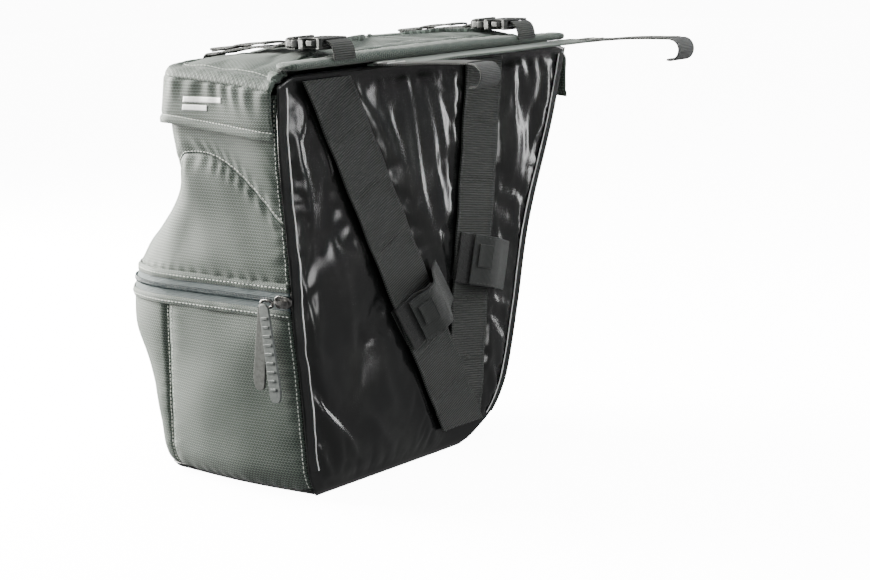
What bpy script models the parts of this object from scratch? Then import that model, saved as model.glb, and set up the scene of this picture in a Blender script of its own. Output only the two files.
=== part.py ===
"""A bicycle pannier bag: black coated back, grey fabric body, wrap-round zip pocket and strapped lid.

Frame: +Z up, the back panel (the side that faces the rack) looks along +X, the bag's long side runs
along Y, and the origin is on the underside of the flat base. Sizes are in millimetres in this file
and become metres where a mesh is made.
"""

import math

import bpy
import numpy as np

MM = 0.001
GAP = 0.4

# ---- Driving dimensions, in millimetres -------------------------------------------------------
BACK_FACE = 60.0
BACK_THICK = 2.6
WALL_END = BACK_FACE - BACK_THICK - GAP
PANEL_TOP = 343.0
FABRIC = 2.0
WEBBING = 1.8
RACK_WEBBING_WIDTH = 50.0
STRAP_WIDTH = 25.0

ZIP_BOTTOM = 157.0
ZIP_TOP = 174.0
ZIP_FACE_Y = -170.0
BODY_TOP = 328.0
LINER_X = -62.0
LINER_INSET = 9.0

# Outline stations (height, position) of the soft body, from the base up.
NEAR_EDGE = [(0, -143), (4, -151), (12, -156), (24, -159.5), (45, -161), (107, -165),
             (ZIP_BOTTOM, ZIP_FACE_Y), (ZIP_TOP, ZIP_FACE_Y), (225, -173), (287, -177), (344, -175)]
FAR_EDGE = [(0, 22), (4, 40), (12, 60), (24, 82), (40, 97), (56, 106), (113, 124), (180, 142),
            (281, 186), (344, 208)]
OUTER_FACE = [(0, -103), (4, -110), (12, -115), (24, -118), (45, -124), (80, -134), (120, -148),
              (ZIP_BOTTOM, -159), (ZIP_TOP, -154), (262, -66), (300, -71), (344, -66)]
CORNER_DEPTH = [(0, 12), (12, 17), (24, 20), (45, 28), (80, 41), (120, 60), (ZIP_BOTTOM, 76.5), (ZIP_TOP, 76),
                (262, 25), (300, 22), (344, 24)]
CORNER_LENGTH = [(0, 10), (12, 14), (24, 16), (45, 24), (80, 27), (120, 31), (ZIP_BOTTOM, 49), (ZIP_TOP, 54),
                 (262, 22), (300, 20), (344, 24)]
END_BULGE = [(0, 4), (24, 8), (60, 8), (120, 5), (ZIP_BOTTOM, 0), (ZIP_TOP, 0), (200, 2), (250, 1),
             (280, 0)]

# Lid
LID_HINGE = (72.0, 0.0, 348.0)
LID_RACK_EDGE = 46.0
LID_OUTER_EDGE = -78.0
LID_MIDDLE_Y = 13.0
LID_HALF_LENGTH = 198.0
SKIRT_PROUD = 6.5
HEM_AT_RACK = 293.0
HEM_AT_CORNER = 304.0
BAND_WIDTH = 22.0
BAND_BOTTOM = 346.6
BAND_TOP = 356.0

# Closure straps and their side-release buckles
STRAP_PLACES = {"near": -107.0, "far": 135.0}
BUCKLE_LEVEL = 365.0
BUCKLE_WIDTH = 33.0
BUCKLE_THICK = 10.0
BUCKLE_MOUTH = 34.0
BUCKLE_RACK_END = 60.0
MALE_END = 20.0
PRONG_REACH = 53.0

# Rack flap and its two hook-and-loop straps
FLAP_HINGE = (67.4, 0.0, 343.4)
FLAP_EDGE = 105.0
FLAP_SPAN = (-82.0, 211.0)
FLAP_TOP = 345.5
RACK_STRAPS = {"near": (-94.0, -69.0), "far": (186.0, 211.0)}
RAIL_CENTRE = (186.0, 340.0)
RAIL_HOLLOW = 8.6

# Ties: tube centre (Y, Z), tilt of the tube from upright in the panel's plane, webbing top face,
# reach of the hook leaf
TIES = {
    "vertical": {"place": (68.0, 162.0), "tilt": -15.0, "floor": 63.9, "reach": 36.0},
    "diagonal": {"place": (-13.0, 139.0), "tilt": 32.0, "floor": 66.1, "reach": 30.0},
}
TIE_LENGTH = 44.0
TUBE_ROOM = 6.6

SLIDER_X = 53.0
PULL_HINGE = (37.0, -177.0, 162.0)


# ---- Materials --------------------------------------------------------------------------------
def make_material(name, colour, roughness, metallic=0.0):
    material = bpy.data.materials.new(name)
    material.use_nodes = True
    shader = material.node_tree.nodes["Principled BSDF"]
    shader.inputs["Base Color"].default_value = (*colour, 1.0)
    shader.inputs["Roughness"].default_value = roughness
    shader.inputs["Metallic"].default_value = metallic
    return material


# ---- Mesh helpers -----------------------------------------------------------------------------
def add_mesh(name, points, faces, material, pivot=None, smooth=True):
    """An object from points in millimetres. With a pivot it hangs from that empty, on its joint axis,
    and the empty may itself hang from another."""
    points = np.asarray(points, float) * MM
    if pivot is not None:
        points = points - np.array(pivot.matrix_world.translation)
    mesh = bpy.data.meshes.new(name)
    mesh.from_pydata(points.tolist(), [], faces)
    mesh.materials.append(material)
    if smooth:
        mesh.shade_smooth()
        mesh.set_sharp_from_angle(angle=math.radians(35))
    obj = bpy.data.objects.new(name, mesh)
    bpy.context.scene.collection.objects.link(obj)
    obj.parent = pivot
    return obj


def add_pivot(name, place, parent=None):
    pivot = bpy.data.objects.new(name, None)
    pivot.empty_display_size = 0.02
    bpy.context.scene.collection.objects.link(pivot)
    pivot.location = [value * MM for value in place]
    if parent is not None:
        pivot.parent = parent
        pivot.matrix_parent_inverse.translation = [-value for value in parent.location]
    bpy.context.view_layer.update()
    return pivot


def sheet(name, grid, thickness, material, pivot=None):
    """A cloth panel: a grid of outer points [rows, columns, xyz], thickened inwards."""
    rows, columns = grid.shape[:2]
    faces = [
        (r * columns + c, (r + 1) * columns + c, (r + 1) * columns + c + 1, r * columns + c + 1)
        for r in range(rows - 1)
        for c in range(columns - 1)
    ]
    obj = add_mesh(name, grid.reshape(-1, 3), faces, material, pivot)
    wall = obj.modifiers.new("wall", "SOLIDIFY")
    wall.thickness = thickness * MM
    wall.offset = -1.0
    return obj


def loft(name, rings, material, pivot=None, smooth=True):
    """A closed body through rings of points [rings, points, xyz], capped at both ends."""
    rings = np.asarray(rings, float)
    count, size = rings.shape[:2]
    faces = [
        (r * size + p, r * size + (p + 1) % size, (r + 1) * size + (p + 1) % size, (r + 1) * size + p)
        for r in range(count - 1)
        for p in range(size)
    ]
    faces.append(tuple(range(size))[::-1])
    faces.append(tuple((count - 1) * size + p for p in range(size)))
    edge = rings[0][:, None, :] - rings[0].mean(axis=0)
    turn = np.cross(edge[:, 0], np.roll(edge[:, 0], -1, axis=0)).sum(axis=0)
    if turn @ (rings[1].mean(axis=0) - rings[0].mean(axis=0)) < 0:
        faces = [face[::-1] for face in faces]
    return add_mesh(name, rings.reshape(-1, 3), faces, material, pivot, smooth)


def plate(name, outline, low, high, material, pivot=None, axis=0, smooth=True):
    """A flat plate: an outline in the plane across the axis, from low to high along it."""
    outline = np.asarray(outline, float)
    rings = [np.insert(outline, axis, level, axis=1) for level in (low, high)]
    return loft(name, rings, material, pivot, smooth)


def band(name, route, across, width, thickness, material, pivot=None):
    """A flat strap along a route of points. Its near face is on the route, and it grows to the left
    of the direction of travel as seen along the across direction."""
    route = np.asarray(route, float)
    across = np.asarray(across, float) / np.linalg.norm(across)
    along = np.gradient(route, axis=0)
    along /= np.linalg.norm(along, axis=1)[:, None]
    out = np.cross(across, along)
    half = across * width / 2
    rings = np.stack(
        [route - half, route + half, route + half + out * thickness, route - half + out * thickness],
        axis=1,
    )
    return loft(name, rings, material, pivot)


def smooth_route(points, steps):
    """Points read evenly from a Catmull-Rom curve through the given ones."""
    points = np.asarray(points, float)
    padded = np.vstack([2 * points[0] - points[1], points, 2 * points[-1] - points[-2]])
    places = np.linspace(0, len(points) - 1, steps)
    index = np.minimum(places.astype(int), len(points) - 2)
    t = (places - index)[:, None]
    a, b, c, d = (padded[index + k] for k in range(4))
    return 0.5 * (2 * b + (c - a) * t + (2 * a - 5 * b + 4 * c - d) * t**2
                  + (3 * b - a - 3 * c + d) * t**3)


def rounded_block(name, low, high, bevel, material, pivot=None):
    """A block with rounded edges."""
    low, high = np.asarray(low, float), np.asarray(high, float)
    x, y, z = zip(low, high)
    base = [(x[0], y[0]), (x[1], y[0]), (x[1], y[1]), (x[0], y[1])]
    obj = plate(name, base, z[0], z[1], material, pivot, axis=2)
    edge = obj.modifiers.new("edge", "BEVEL")
    edge.width = bevel * MM
    edge.segments = 2
    return obj


# ---- Shape of the soft body -------------------------------------------------------------------
def read(stations, height):
    heights, values = zip(*stations)
    return np.interp(height, heights, values)


def outline(u, height, grow=0.0, outer_x=None):
    """Plan position of the wall. u runs 0 to 5: near end, near corner, outer face, far corner, far
    end. The corners are quarter ellipses, and the two ends bulge by a half sine."""
    u = np.asarray(u, float)
    height = np.asarray(height, float)
    near = read(NEAR_EDGE, height) - grow
    far = read(FAR_EDGE, height) + grow
    outer = read(OUTER_FACE, height) - grow if outer_x is None else np.full_like(height, outer_x)
    depth = read(CORNER_DEPTH, height) if outer_x is None else np.full_like(height, 20.0)
    length = read(CORNER_LENGTH, height) if outer_x is None else np.full_like(height, 20.0)
    bulge = read(END_BULGE, height) if grow == 0.0 else 0.0 * height
    v = np.where(u > 2.5, 5.0 - u, u)
    on_end = np.clip(v, 0, 1)
    turn = np.clip(v - 1, 0, 1) * math.pi / 2
    x = WALL_END + (outer + depth - WALL_END) * on_end - depth * np.sin(turn)
    inset = length * (1 - np.cos(turn))
    swell = bulge * np.sin(math.pi * on_end) * (v < 1)
    near_y = near + inset - swell
    far_y = far - inset + swell
    middle = np.clip(u - 2, 0, 1)
    y = np.where(u > 3, far_y, near_y + (far_y - near_y) * middle)
    return x, y


def arch(u):
    """Height of the arched seam: it climbs each end as a quarter sine, then eases down to the
    level run along the outer face."""
    v = np.minimum(u, 5 - np.asarray(u, float))
    rise = 225 + 55 * np.sin(np.clip(v / 0.83, 0, 1) * math.pi / 2)
    fall = 257 + 23 * (0.5 + 0.5 * np.cos(math.pi * np.clip((v - 0.83) / 1.17, 0, 1)))
    return np.where(v < 0.83, rise, fall)


def wall_columns(start, end):
    """Values of u from start to end, close together on the corners."""
    marks = [0, 0.2, 0.4, 0.6, 0.83, 1, 1.25, 1.5, 1.75, 2, 2.2, 2.5, 2.8, 3, 3.25, 3.5, 3.75, 4, 4.17,
             4.4, 4.6, 4.8, 5]
    inside = [mark for mark in marks if start + 0.02 < mark < end - 0.02]
    return np.array([start, *inside, end])


def wall_grid(columns, heights, **settings):
    """Grid of wall points, with one row for each height. A height may vary along the wall."""
    rows = []
    for height in heights:
        level = np.broadcast_to(np.asarray(height, float), columns.shape)
        x, y = outline(columns, level, **settings)
        rows.append(np.stack([x, y, level], axis=1))
    return np.array(rows)


def lid_height(x, y):
    """Top of the lid: a crown across its width that falls away towards both ends."""
    w = np.clip((LID_RACK_EDGE - x) / (LID_RACK_EDGE - LID_OUTER_EDGE), 0, 1)
    v = np.clip(np.abs(y - LID_MIDDLE_Y) / LID_HALF_LENGTH, 0, 1)
    middle = 355 + 6 * np.sin(math.pi * np.clip(w * 1.1, 0, 1)) - 3 * w
    end = 334 + 11 * w**0.8
    share = v**5
    return middle * (1 - share) + end * share


# ---- Sub-parts --------------------------------------------------------------------------------
def build_back(pvc, board):
    heights = np.array([0, 4, 12, 24, 40, 56, 80, 113, 150, 180, 225, 281, 330])
    near = np.stack([read(NEAR_EDGE, heights), heights], axis=1)
    far = np.stack([read(FAR_EDGE, heights), heights], axis=1)
    top = [(read(FAR_EDGE, 340) - 4, PANEL_TOP - 2), (195, PANEL_TOP), (-155, PANEL_TOP),
           (-168, PANEL_TOP - 5)]
    edge = np.vstack([near[0], far[0], far[1:], top, near[:0:-1]])
    plate("back_panel", edge, BACK_FACE - BACK_THICK, BACK_FACE, pvc, smooth=False)
    inset = 15
    low, high = 14.0, 325.0
    levels = np.array([low, 26, 42, 58, 113, 180, 281, high])
    left = np.stack([read(NEAR_EDGE, levels) + inset, levels], axis=1)
    right = np.stack([read(FAR_EDGE, levels) - inset, levels], axis=1)
    plate("stiffener_board", np.vstack([right, left[::-1]]), 52.5, WALL_END - GAP, board, smooth=False)


def build_seam_strips(pvc):
    """The folded seam allowance that stands on the back panel's two upright edges."""
    levels = np.array([30, 60, 113, 180, 225, 281, 330])
    for name, stations, side in (("near", NEAR_EDGE, 1), ("far", FAR_EDGE, -1)):
        edge = np.stack([read(stations, levels) + side * 0.5, levels], axis=1)
        inner = edge + np.array([side * 9.0, 0])
        plate("seam_strip_" + name, np.vstack([edge, inner[::-1]]), BACK_FACE + 0.3, BACK_FACE + 1.6,
              pvc, smooth=False)


def build_base(pvc, board):
    u = wall_columns(0, 5)
    x, y = outline(u, np.full_like(u, 3.0))
    plate("base_panel", np.stack([x, y], axis=1), 0, 2.6, pvc, axis=2, smooth=False)
    corners = [(-52, -132), (49, -132), (49, 24), (-52, 24)]
    plate("base_board", corners, 3.0, 5.4, board, axis=2, smooth=False)


def build_walls(fabric, lining):
    low = [3.2, 8, 14, 24, 45, 80, 120, ZIP_BOTTOM]
    step = 0.006
    for name, start, end in (
        ("pocket_end_near", 0, 1 - step),
        ("pocket_front", 1, 4),
        ("pocket_end_far", 4 + step, 5),
    ):
        sheet(name, wall_grid(wall_columns(start, end), low), FABRIC, fabric)
    u = wall_columns(0, 5)
    seam = arch(u)
    roof = [ZIP_TOP + (seam - ZIP_TOP) * t for t in (0, 0.25, 0.5, 0.75, 1)]
    sheet("pocket_roof", wall_grid(u, roof), FABRIC, fabric)
    upper = [seam + 0.8 + (BODY_TOP - seam - 0.8) * t for t in (0, 0.35, 0.7, 1)]
    sheet("upper_body", wall_grid(u, upper), FABRIC, fabric)
    sheet("inner_wall", wall_grid(u, [16, 26, 45, 80, 150, 200, 219], grow=-LINER_INSET, outer_x=LINER_X),
          FABRIC, lining)


def build_zip(tape, coil_plastic, metal, puller):
    u = wall_columns(0, 5)
    for name, low, high in (("zip_tape_lower", 158.3, 164.4), ("zip_tape_upper", 166.6, 172.0)):
        sheet(name, wall_grid(u, [low, high]), 1.0, tape)
    sheet("zip_coil", wall_grid(u, [164.7, 166.3]), 1.6, coil_plastic)
    travel = add_pivot("zip_slider_origin", (SLIDER_X, -172.5, 165.5))
    rounded_block("zip_slider", (SLIDER_X - 9, -175.4, 160), (SLIDER_X + 8, -170.5, 171), 1.2, metal,
                  travel)
    rounded_block("zip_puller_link", (29, -175.2, 159.5), (SLIDER_X - 9.5, -173.2, 167), 0.6, metal,
                  travel)
    swing = add_pivot("zip_pull_axis", PULL_HINGE, travel)
    leaves = (("zip_pull_front", (30.5, 43.5), (39, 52), 84, -179.4), ("zip_pull_back", (28, 41), (20, 33),
              92, -177.2))
    for name, top, foot, end, face in leaves:
        shape = [(top[0], 161.5), (foot[0], end + 12), (foot[0] + 2, end + 3), (sum(foot) / 2, end),
                 (foot[1], end + 12), (top[1], 161.5)]
        plate(name, shape, face, face + 1.8, puller, swing, axis=1, smooth=False)


def build_rack_webbing(webbing):
    """Two 50 mm webbings on the back panel, which meet in a V at its foot."""
    half = RACK_WEBBING_WIDTH / 2
    for name, top, foot, face in (
        ("webbing_vertical", (81.5, 338.0), (35.5, 22.0), 62.1),
        ("webbing_diagonal", (-124.0, 338.0), (34.0, 22.0), 64.3),
    ):
        top, foot = np.array(top), np.array(foot)
        along = (foot - top) / np.linalg.norm(foot - top)
        level = half / abs(along[1])
        side = np.array([level, 0.0])
        shape = [top - side, top + side, foot + side, foot - side]
        plate(name, shape, face, face + WEBBING, webbing, smooth=False)


def build_tie(name, settings, loop_tape, hook_tape):
    """A hook-and-loop tie that closes round a rack tube lying on the webbing."""
    y, z = settings["place"]
    tilt = math.radians(settings["tilt"])
    along = np.array([0, math.sin(tilt), -math.cos(tilt)])
    across = np.array([0, math.cos(tilt), math.sin(tilt)])
    centre = np.array([0, y, z])
    floor = settings["floor"]
    reach = settings["reach"]
    crest = floor + 2 * TUBE_ROOM + 0.6

    def route(points):
        return np.array([centre + across * b + np.array([x, 0, 0]) for b, x in points])

    anchor = route([(-34, BACK_FACE + 0.3), (reach - 1, BACK_FACE + 0.3)])
    band(f"tie_{name}_anchor", anchor, along, TIE_LENGTH - 6, 1.3, loop_tape)
    loop = smooth_route([(-35, floor + 0.4), (-24, floor + 2.5), (-13, floor + 5.0),
                         (-TUBE_ROOM - 1.4, crest - 5.4), (-3, crest - 1.2), (3, crest - 0.9)], 11)
    band(f"tie_{name}_loop_leaf", route(loop), along, TIE_LENGTH, 1.6, loop_tape)
    hinge = centre + across * reach + np.array([floor - 0.4, 0, 0])
    pivot = add_pivot(f"tie_{name}_axis", hinge)
    hook = smooth_route([(-23, floor + 7.4), (-14, crest - 3.0), (-5, crest + 1.6), (4, crest + 2.0),
                         (TUBE_ROOM + 5, crest - 4), (reach - 10, floor + 3.5), (reach, floor - 0.4)], 13)
    band(f"tie_{name}_hook_leaf", route(hook), along, TIE_LENGTH, 1.6, hook_tape, pivot)
    tongue = route([(-19.5, floor + 9.8 + 1.9), (-13.5, crest - 0.4), (-7, crest + 3.0)])
    band(f"tie_{name}_tongue", tongue - along * 4, along, 20, 1.4, hook_tape, pivot)


def build_lid(fabric):
    pivot = add_pivot("lid_axis", LID_HINGE)
    u = wall_columns(0, 5)
    v = np.minimum(u, 5 - u)
    hem = HEM_AT_RACK + (HEM_AT_CORNER - HEM_AT_RACK) * np.clip(v, 0, 1)
    x, y = outline(u, np.full_like(u, 340.0), grow=SKIRT_PROUD)
    top = lid_height(x, y) - 3.4
    top[0] = top[1] - 1.0
    top[-1] = top[-2] - 1.0
    levels = [hem + (top - hem) * t for t in (0, 0.35, 0.7, 1)]
    grid = wall_grid(u, levels, grow=SKIRT_PROUD)
    hangs = np.clip((u - 3) * 2, 0, 1)
    grid[:, :, 1] += hangs * np.maximum(y - grid[:, :, 1], 0)
    sheet("lid_skirt", grid, FABRIC, fabric, pivot)
    build_lid_top(fabric, pivot)
    span = np.linspace(-168, 200, 15)
    rise = lid_height(np.full_like(span, LID_RACK_EDGE), span) - lid_height(LID_RACK_EDGE, LID_MIDDLE_Y)
    middle = LID_HINGE[0] - 2.6 - BAND_WIDTH / 2
    rings = []
    for place, drop in zip(span, np.maximum(rise, -2.6)):
        angle = np.linspace(0, 2 * math.pi, 12, endpoint=False)
        half_height = (BAND_TOP - BAND_BOTTOM + drop) / 2
        ring_x = middle + BAND_WIDTH / 2 * np.sign(np.cos(angle)) * np.abs(np.cos(angle))**0.6
        ring_z = BAND_BOTTOM + half_height + half_height * np.sign(np.sin(angle)) * np.abs(
            np.sin(angle))**0.6
        rings.append(np.stack([ring_x, np.full_like(angle, place), ring_z], axis=1))
    loft("lid_band", rings, fabric, pivot)
    return pivot


def build_lid_top(fabric, pivot):
    """The crowned lid panel: rings of points that shrink from its outline to its middle."""
    u = wall_columns(0, 5)
    x, y = outline(u, np.full_like(u, 340.0), grow=SKIRT_PROUD)
    x = np.minimum(x, LID_RACK_EDGE)
    rack_y = np.linspace(y[-1], y[0], 12)[1:-1]
    x = np.append(x, np.full_like(rack_y, LID_RACK_EDGE))
    y = np.append(y, rack_y)
    middle = np.array([-12.0, LID_MIDDLE_Y])
    points, faces, size = [], [], len(x)
    shares = (1.0, 0.88, 0.7, 0.45, 0.2)
    for thick, flip in ((0.0, True), (-FABRIC, False)):
        start = len(points)
        for share in shares:
            px = middle[0] + (x - middle[0]) * share
            py = middle[1] + (y - middle[1]) * share
            points.extend(np.stack([px, py, lid_height(px, py) + thick], axis=1))
        points.append((middle[0], middle[1], lid_height(*middle) + thick))
        rings = [
            (start + r * size + c, start + r * size + (c + 1) % size,
             start + (r + 1) * size + (c + 1) % size, start + (r + 1) * size + c)
            for r in range(len(shares) - 1)
            for c in range(size)
        ]
        last = start + (len(shares) - 1) * size
        rings += [(last + c, last + (c + 1) % size, start + len(shares) * size) for c in range(size)]
        faces += [face[::-1] if flip else face for face in rings]
    bottom = len(shares) * size + 1
    faces += [(c, (c + 1) % size, bottom + (c + 1) % size, bottom + c) for c in range(size)]
    add_mesh("lid_top", points, faces, fabric, pivot)


def build_closure_strap(name, y, webbing, plastic, lid_pivot):
    """One strap over the lid, with a side-release buckle near the rack side."""
    across = (0, 1, 0)
    rise = smooth_route([(70.2, y, 351.0), (70.0, y, 357), (67.0, y, 363.5), (61.0, y, 366.2)], 7)
    band(f"strap_{name}_rack_half", rise, across, STRAP_WIDTH, WEBBING, webbing, lid_pivot)

    half, thick, level = BUCKLE_WIDTH / 2, BUCKLE_THICK / 2, BUCKLE_LEVEL
    wall = 1.8
    shell = [(y - half, level - thick), (y + half, level - thick), (y + half, level + thick),
             (y - half, level + thick)]
    room = [(y - half + wall, level - thick + wall), (y + half - wall, level - thick + wall),
            (y + half - wall, level + thick - wall), (y - half + wall, level + thick - wall)]
    build_socket(f"buckle_{name}_female", shell, room, plastic, lid_pivot)

    slide = add_pivot(f"buckle_{name}_origin", (MALE_END, y, level), lid_pivot)
    rounded_block(f"buckle_{name}_male", (MALE_END, y - half, level - 3.6),
                  (BUCKLE_MOUTH - GAP, y + half, level + 3.6), 1.0, plastic, slide)
    rounded_block(f"buckle_{name}_guide", (BUCKLE_MOUTH, y - 3, level - 1.6),
                  (PRONG_REACH - 2, y + 3, level + 1.6), 0.6, plastic, slide)
    for side, sign in (("left", -1), ("right", 1)):
        root = y + sign * 10.5
        pivot = add_pivot(f"prong_{name}_{side}_axis", (BUCKLE_MOUTH + 1, root, level), slide)
        shape = [(BUCKLE_MOUTH, root - 1.6), (PRONG_REACH, root + sign * 0.6 - 1.6),
                 (PRONG_REACH, root + sign * 0.6 + 1.6), (BUCKLE_MOUTH, root + 1.6)]
        plate(f"buckle_{name}_prong_{side}", shape, level - 2.4, level + 2.4, plastic, pivot, axis=2)

    run = np.linspace(2, -66, 10)
    spread = y + np.linspace(-STRAP_WIDTH / 2, STRAP_WIDTH / 2, 5)
    bed = np.array([lid_height(np.full(5, x), spread).max() for x in run]) + 1.4
    over = [(19.4, level - 1.4), (11, 362.6)] + list(zip(run, bed))
    down = [(-73.5, 353.0), (-77.8, 345.5), (-79.8, 330), (-81.8, 306), (-78.5, 284), (-72.5, 264)]
    route = smooth_route([(x, y, z) for x, z in over + down], 34)
    band(f"strap_{name}_lid_half", route, across, STRAP_WIDTH, WEBBING, webbing, slide)
    tail = smooth_route([(x, y, z + WEBBING + 0.7) for x, z in zip(run[1:], bed[1:])], 14)
    band(f"strap_{name}_tail", tail, across, STRAP_WIDTH, WEBBING, webbing, slide)

    levels = np.array([255.0, 240.0, 225.0])
    x, _ = outline(np.full(3, 2.5), levels)
    lie = np.stack([x - 0.9, np.full(3, y), levels + 0.9], axis=1)
    band(f"strap_{name}_anchor", lie, across, STRAP_WIDTH, WEBBING, webbing)


def build_socket(name, shell, room, plastic, pivot):
    """The buckle's female half: a box that is open at its mouth and closed at its rack end."""
    floor_x = PRONG_REACH + 1.2
    rings = [(BUCKLE_RACK_END, shell), (BUCKLE_MOUTH, shell), (BUCKLE_MOUTH, room), (floor_x, room)]
    points = [(x, *corner) for x, ring in rings for corner in ring]
    faces = [(r * 4 + c, r * 4 + (c + 1) % 4, r * 4 + 4 + (c + 1) % 4, r * 4 + 4 + c)
             for r in range(3) for c in range(4)]
    faces = [face[::-1] for face in faces]
    faces += [(0, 1, 2, 3), (15, 14, 13, 12)]
    add_mesh(name, points, faces, plastic, pivot, smooth=False)


def build_rack_flap(fabric, webbing, hook_tape):
    pivot = add_pivot("rack_flap_axis", FLAP_HINGE)
    low, high = FLAP_SPAN
    shape = [(FLAP_HINGE[0], low + 12), (FLAP_EDGE - 14, low), (FLAP_EDGE, low + 6),
             (FLAP_EDGE, high), (FLAP_HINGE[0], high - 8)]
    plate("rack_flap", shape, FLAP_TOP - FABRIC, FLAP_TOP, fabric, pivot, axis=2, smooth=False)
    sewn = [(BACK_FACE + GAP, low + 12), (FLAP_HINGE[0] - GAP, low + 12), (FLAP_HINGE[0] - GAP, high - 8),
            (BACK_FACE + GAP, high - 8)]
    plate("rack_flap_seam", sewn, FLAP_TOP - FABRIC, FLAP_TOP, fabric, axis=2, smooth=False)
    rail_x, rail_z = RAIL_CENTRE
    top = rail_z + RAIL_HOLLOW
    for name, (start, end) in RACK_STRAPS.items():
        y = (start + end) / 2
        route = smooth_route([(88, y, FLAP_TOP + 0.4), (110, y, FLAP_TOP + 0.5), (145, y, 348.2),
                              (rail_x - 4, y, top)], 9)
        band(f"rack_strap_{name}", route[::-1], (0, 1, 0), STRAP_WIDTH, WEBBING, webbing, pivot)
        swing = add_pivot(f"rack_strap_{name}_axis", (rail_x - 3, y, top + 1), pivot)
        angle = np.radians(np.linspace(88, -110, 15))
        wrap = np.stack([rail_x + RAIL_HOLLOW * np.cos(angle), np.full(15, y),
                         rail_z + RAIL_HOLLOW * np.sin(angle)], axis=1)
        start_point = np.array([[rail_x - 3.4, y, top + 0.02]])
        band(f"rack_strap_{name}_wrap", np.vstack([start_point, wrap])[::-1], (0, 1, 0), STRAP_WIDTH,
             WEBBING, hook_tape, swing)


def main():
    for obj in list(bpy.data.objects):
        bpy.data.objects.remove(obj, do_unlink=True)
    pvc = make_material("black_coated_fabric", (0.012, 0.013, 0.013), 0.16)
    fabric = make_material("grey_body_fabric", (0.16, 0.18, 0.165), 0.72)
    lining = make_material("grey_lining", (0.2, 0.21, 0.2), 0.8)
    board = make_material("stiffener_board", (0.05, 0.05, 0.05), 0.5)
    webbing = make_material("webbing", (0.06, 0.07, 0.06), 0.75)
    loop_tape = make_material("loop_tape", (0.015, 0.016, 0.016), 0.9)
    hook_tape = make_material("hook_tape", (0.13, 0.145, 0.14), 0.6)
    zip_tape = make_material("zip_tape", (0.05, 0.075, 0.08), 0.7)
    metal = make_material("zip_metal", (0.2, 0.2, 0.2), 0.3, 1.0)
    plastic = make_material("buckle_plastic", (0.035, 0.038, 0.036), 0.4)
    puller = make_material("zip_pull_leather", (0.12, 0.13, 0.13), 0.55)

    build_back(pvc, board)
    build_seam_strips(pvc)
    build_base(pvc, board)
    build_walls(fabric, lining)
    build_zip(zip_tape, zip_tape, metal, puller)
    build_rack_webbing(webbing)
    for name, settings in TIES.items():
        build_tie(name, settings, loop_tape, hook_tape)
    lid_pivot = build_lid(fabric)
    for name, y in STRAP_PLACES.items():
        build_closure_strap(name, y, webbing, plastic, lid_pivot)
    build_rack_flap(fabric, webbing, hook_tape)


main()
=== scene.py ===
# %% [markdown]
# # A bicycle pannier bag
# A pannier is sewn from flat panels, stiffened by a board at its back, and hung on a rack by ties,
# a flap and two rail straps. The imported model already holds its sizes, joints and places. This
# script gives each soft panel its real surface: puckered seams, stitches, ribs and wrinkles.
# Lengths are written in millimetres, and become metres in the one function that makes a mesh.

# %% Load the frame
import math

import bpy
import numpy as np
from mathutils import Matrix, Vector


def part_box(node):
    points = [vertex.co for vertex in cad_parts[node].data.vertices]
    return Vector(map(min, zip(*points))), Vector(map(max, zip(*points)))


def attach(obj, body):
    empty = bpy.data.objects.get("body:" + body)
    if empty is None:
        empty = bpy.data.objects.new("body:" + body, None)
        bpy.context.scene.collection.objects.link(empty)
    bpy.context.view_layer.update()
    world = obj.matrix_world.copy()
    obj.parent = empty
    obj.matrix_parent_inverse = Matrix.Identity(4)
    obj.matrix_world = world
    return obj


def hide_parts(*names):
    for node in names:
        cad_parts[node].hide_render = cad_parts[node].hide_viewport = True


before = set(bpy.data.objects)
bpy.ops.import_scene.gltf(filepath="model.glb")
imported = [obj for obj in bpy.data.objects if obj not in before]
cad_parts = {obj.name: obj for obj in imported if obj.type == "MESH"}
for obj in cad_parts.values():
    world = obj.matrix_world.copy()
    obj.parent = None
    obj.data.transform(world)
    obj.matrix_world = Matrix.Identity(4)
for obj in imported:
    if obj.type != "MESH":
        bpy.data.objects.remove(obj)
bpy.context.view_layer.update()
MM = 0.001
UPWARD, RACKWARD, SIDEWAYS = (0.0, 0.0, 1.0), (1.0, 0.0, 0.0), (0, 1, 0)


# %% [markdown]
# ## Camera, light and floor
# The camera stands in front of the bag's near end, 39 degrees round from it, a little above. Its
# turn is built from an azimuth, an elevation and a small roll, which is how a photographer would
# describe it. Large soft lights suit fabric, and the narrow bright ones draw the long highlights
# on the glossy back.

# %% Place the camera
CAMERA_PLACE = (1.1114, -1.2757, 0.4603)
CAMERA_AZIMUTH, CAMERA_ELEVATION, CAMERA_ROLL = 39.32, 10.73, -1.92
CAMERA_LENS = 81.5


def aim(azimuth, elevation, roll=0.0):
    """Rotation that looks along an azimuth (0 is +Y) and down by an elevation, then rolls."""
    a, e, r = (math.radians(angle) for angle in (azimuth, elevation, roll))
    ahead = Vector((-math.sin(a) * math.cos(e), math.cos(a) * math.cos(e), -math.sin(e)))
    level = ahead.cross(Vector((0, 0, 1))).normalized()
    upright = level.cross(ahead)
    right = level * math.cos(r) + upright * math.sin(r)
    up = right.cross(ahead)
    return Matrix((right, up, -ahead)).transposed().to_4x4()


camera_data = bpy.data.cameras.new("camera")
camera_data.lens = CAMERA_LENS
camera = bpy.data.objects.new("camera", camera_data)
camera.matrix_world = Matrix.Translation(CAMERA_PLACE) @ aim(CAMERA_AZIMUTH, CAMERA_ELEVATION, CAMERA_ROLL)
bpy.context.scene.collection.objects.link(camera)
bpy.context.scene.camera = camera
print("camera at", CAMERA_PLACE)


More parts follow.
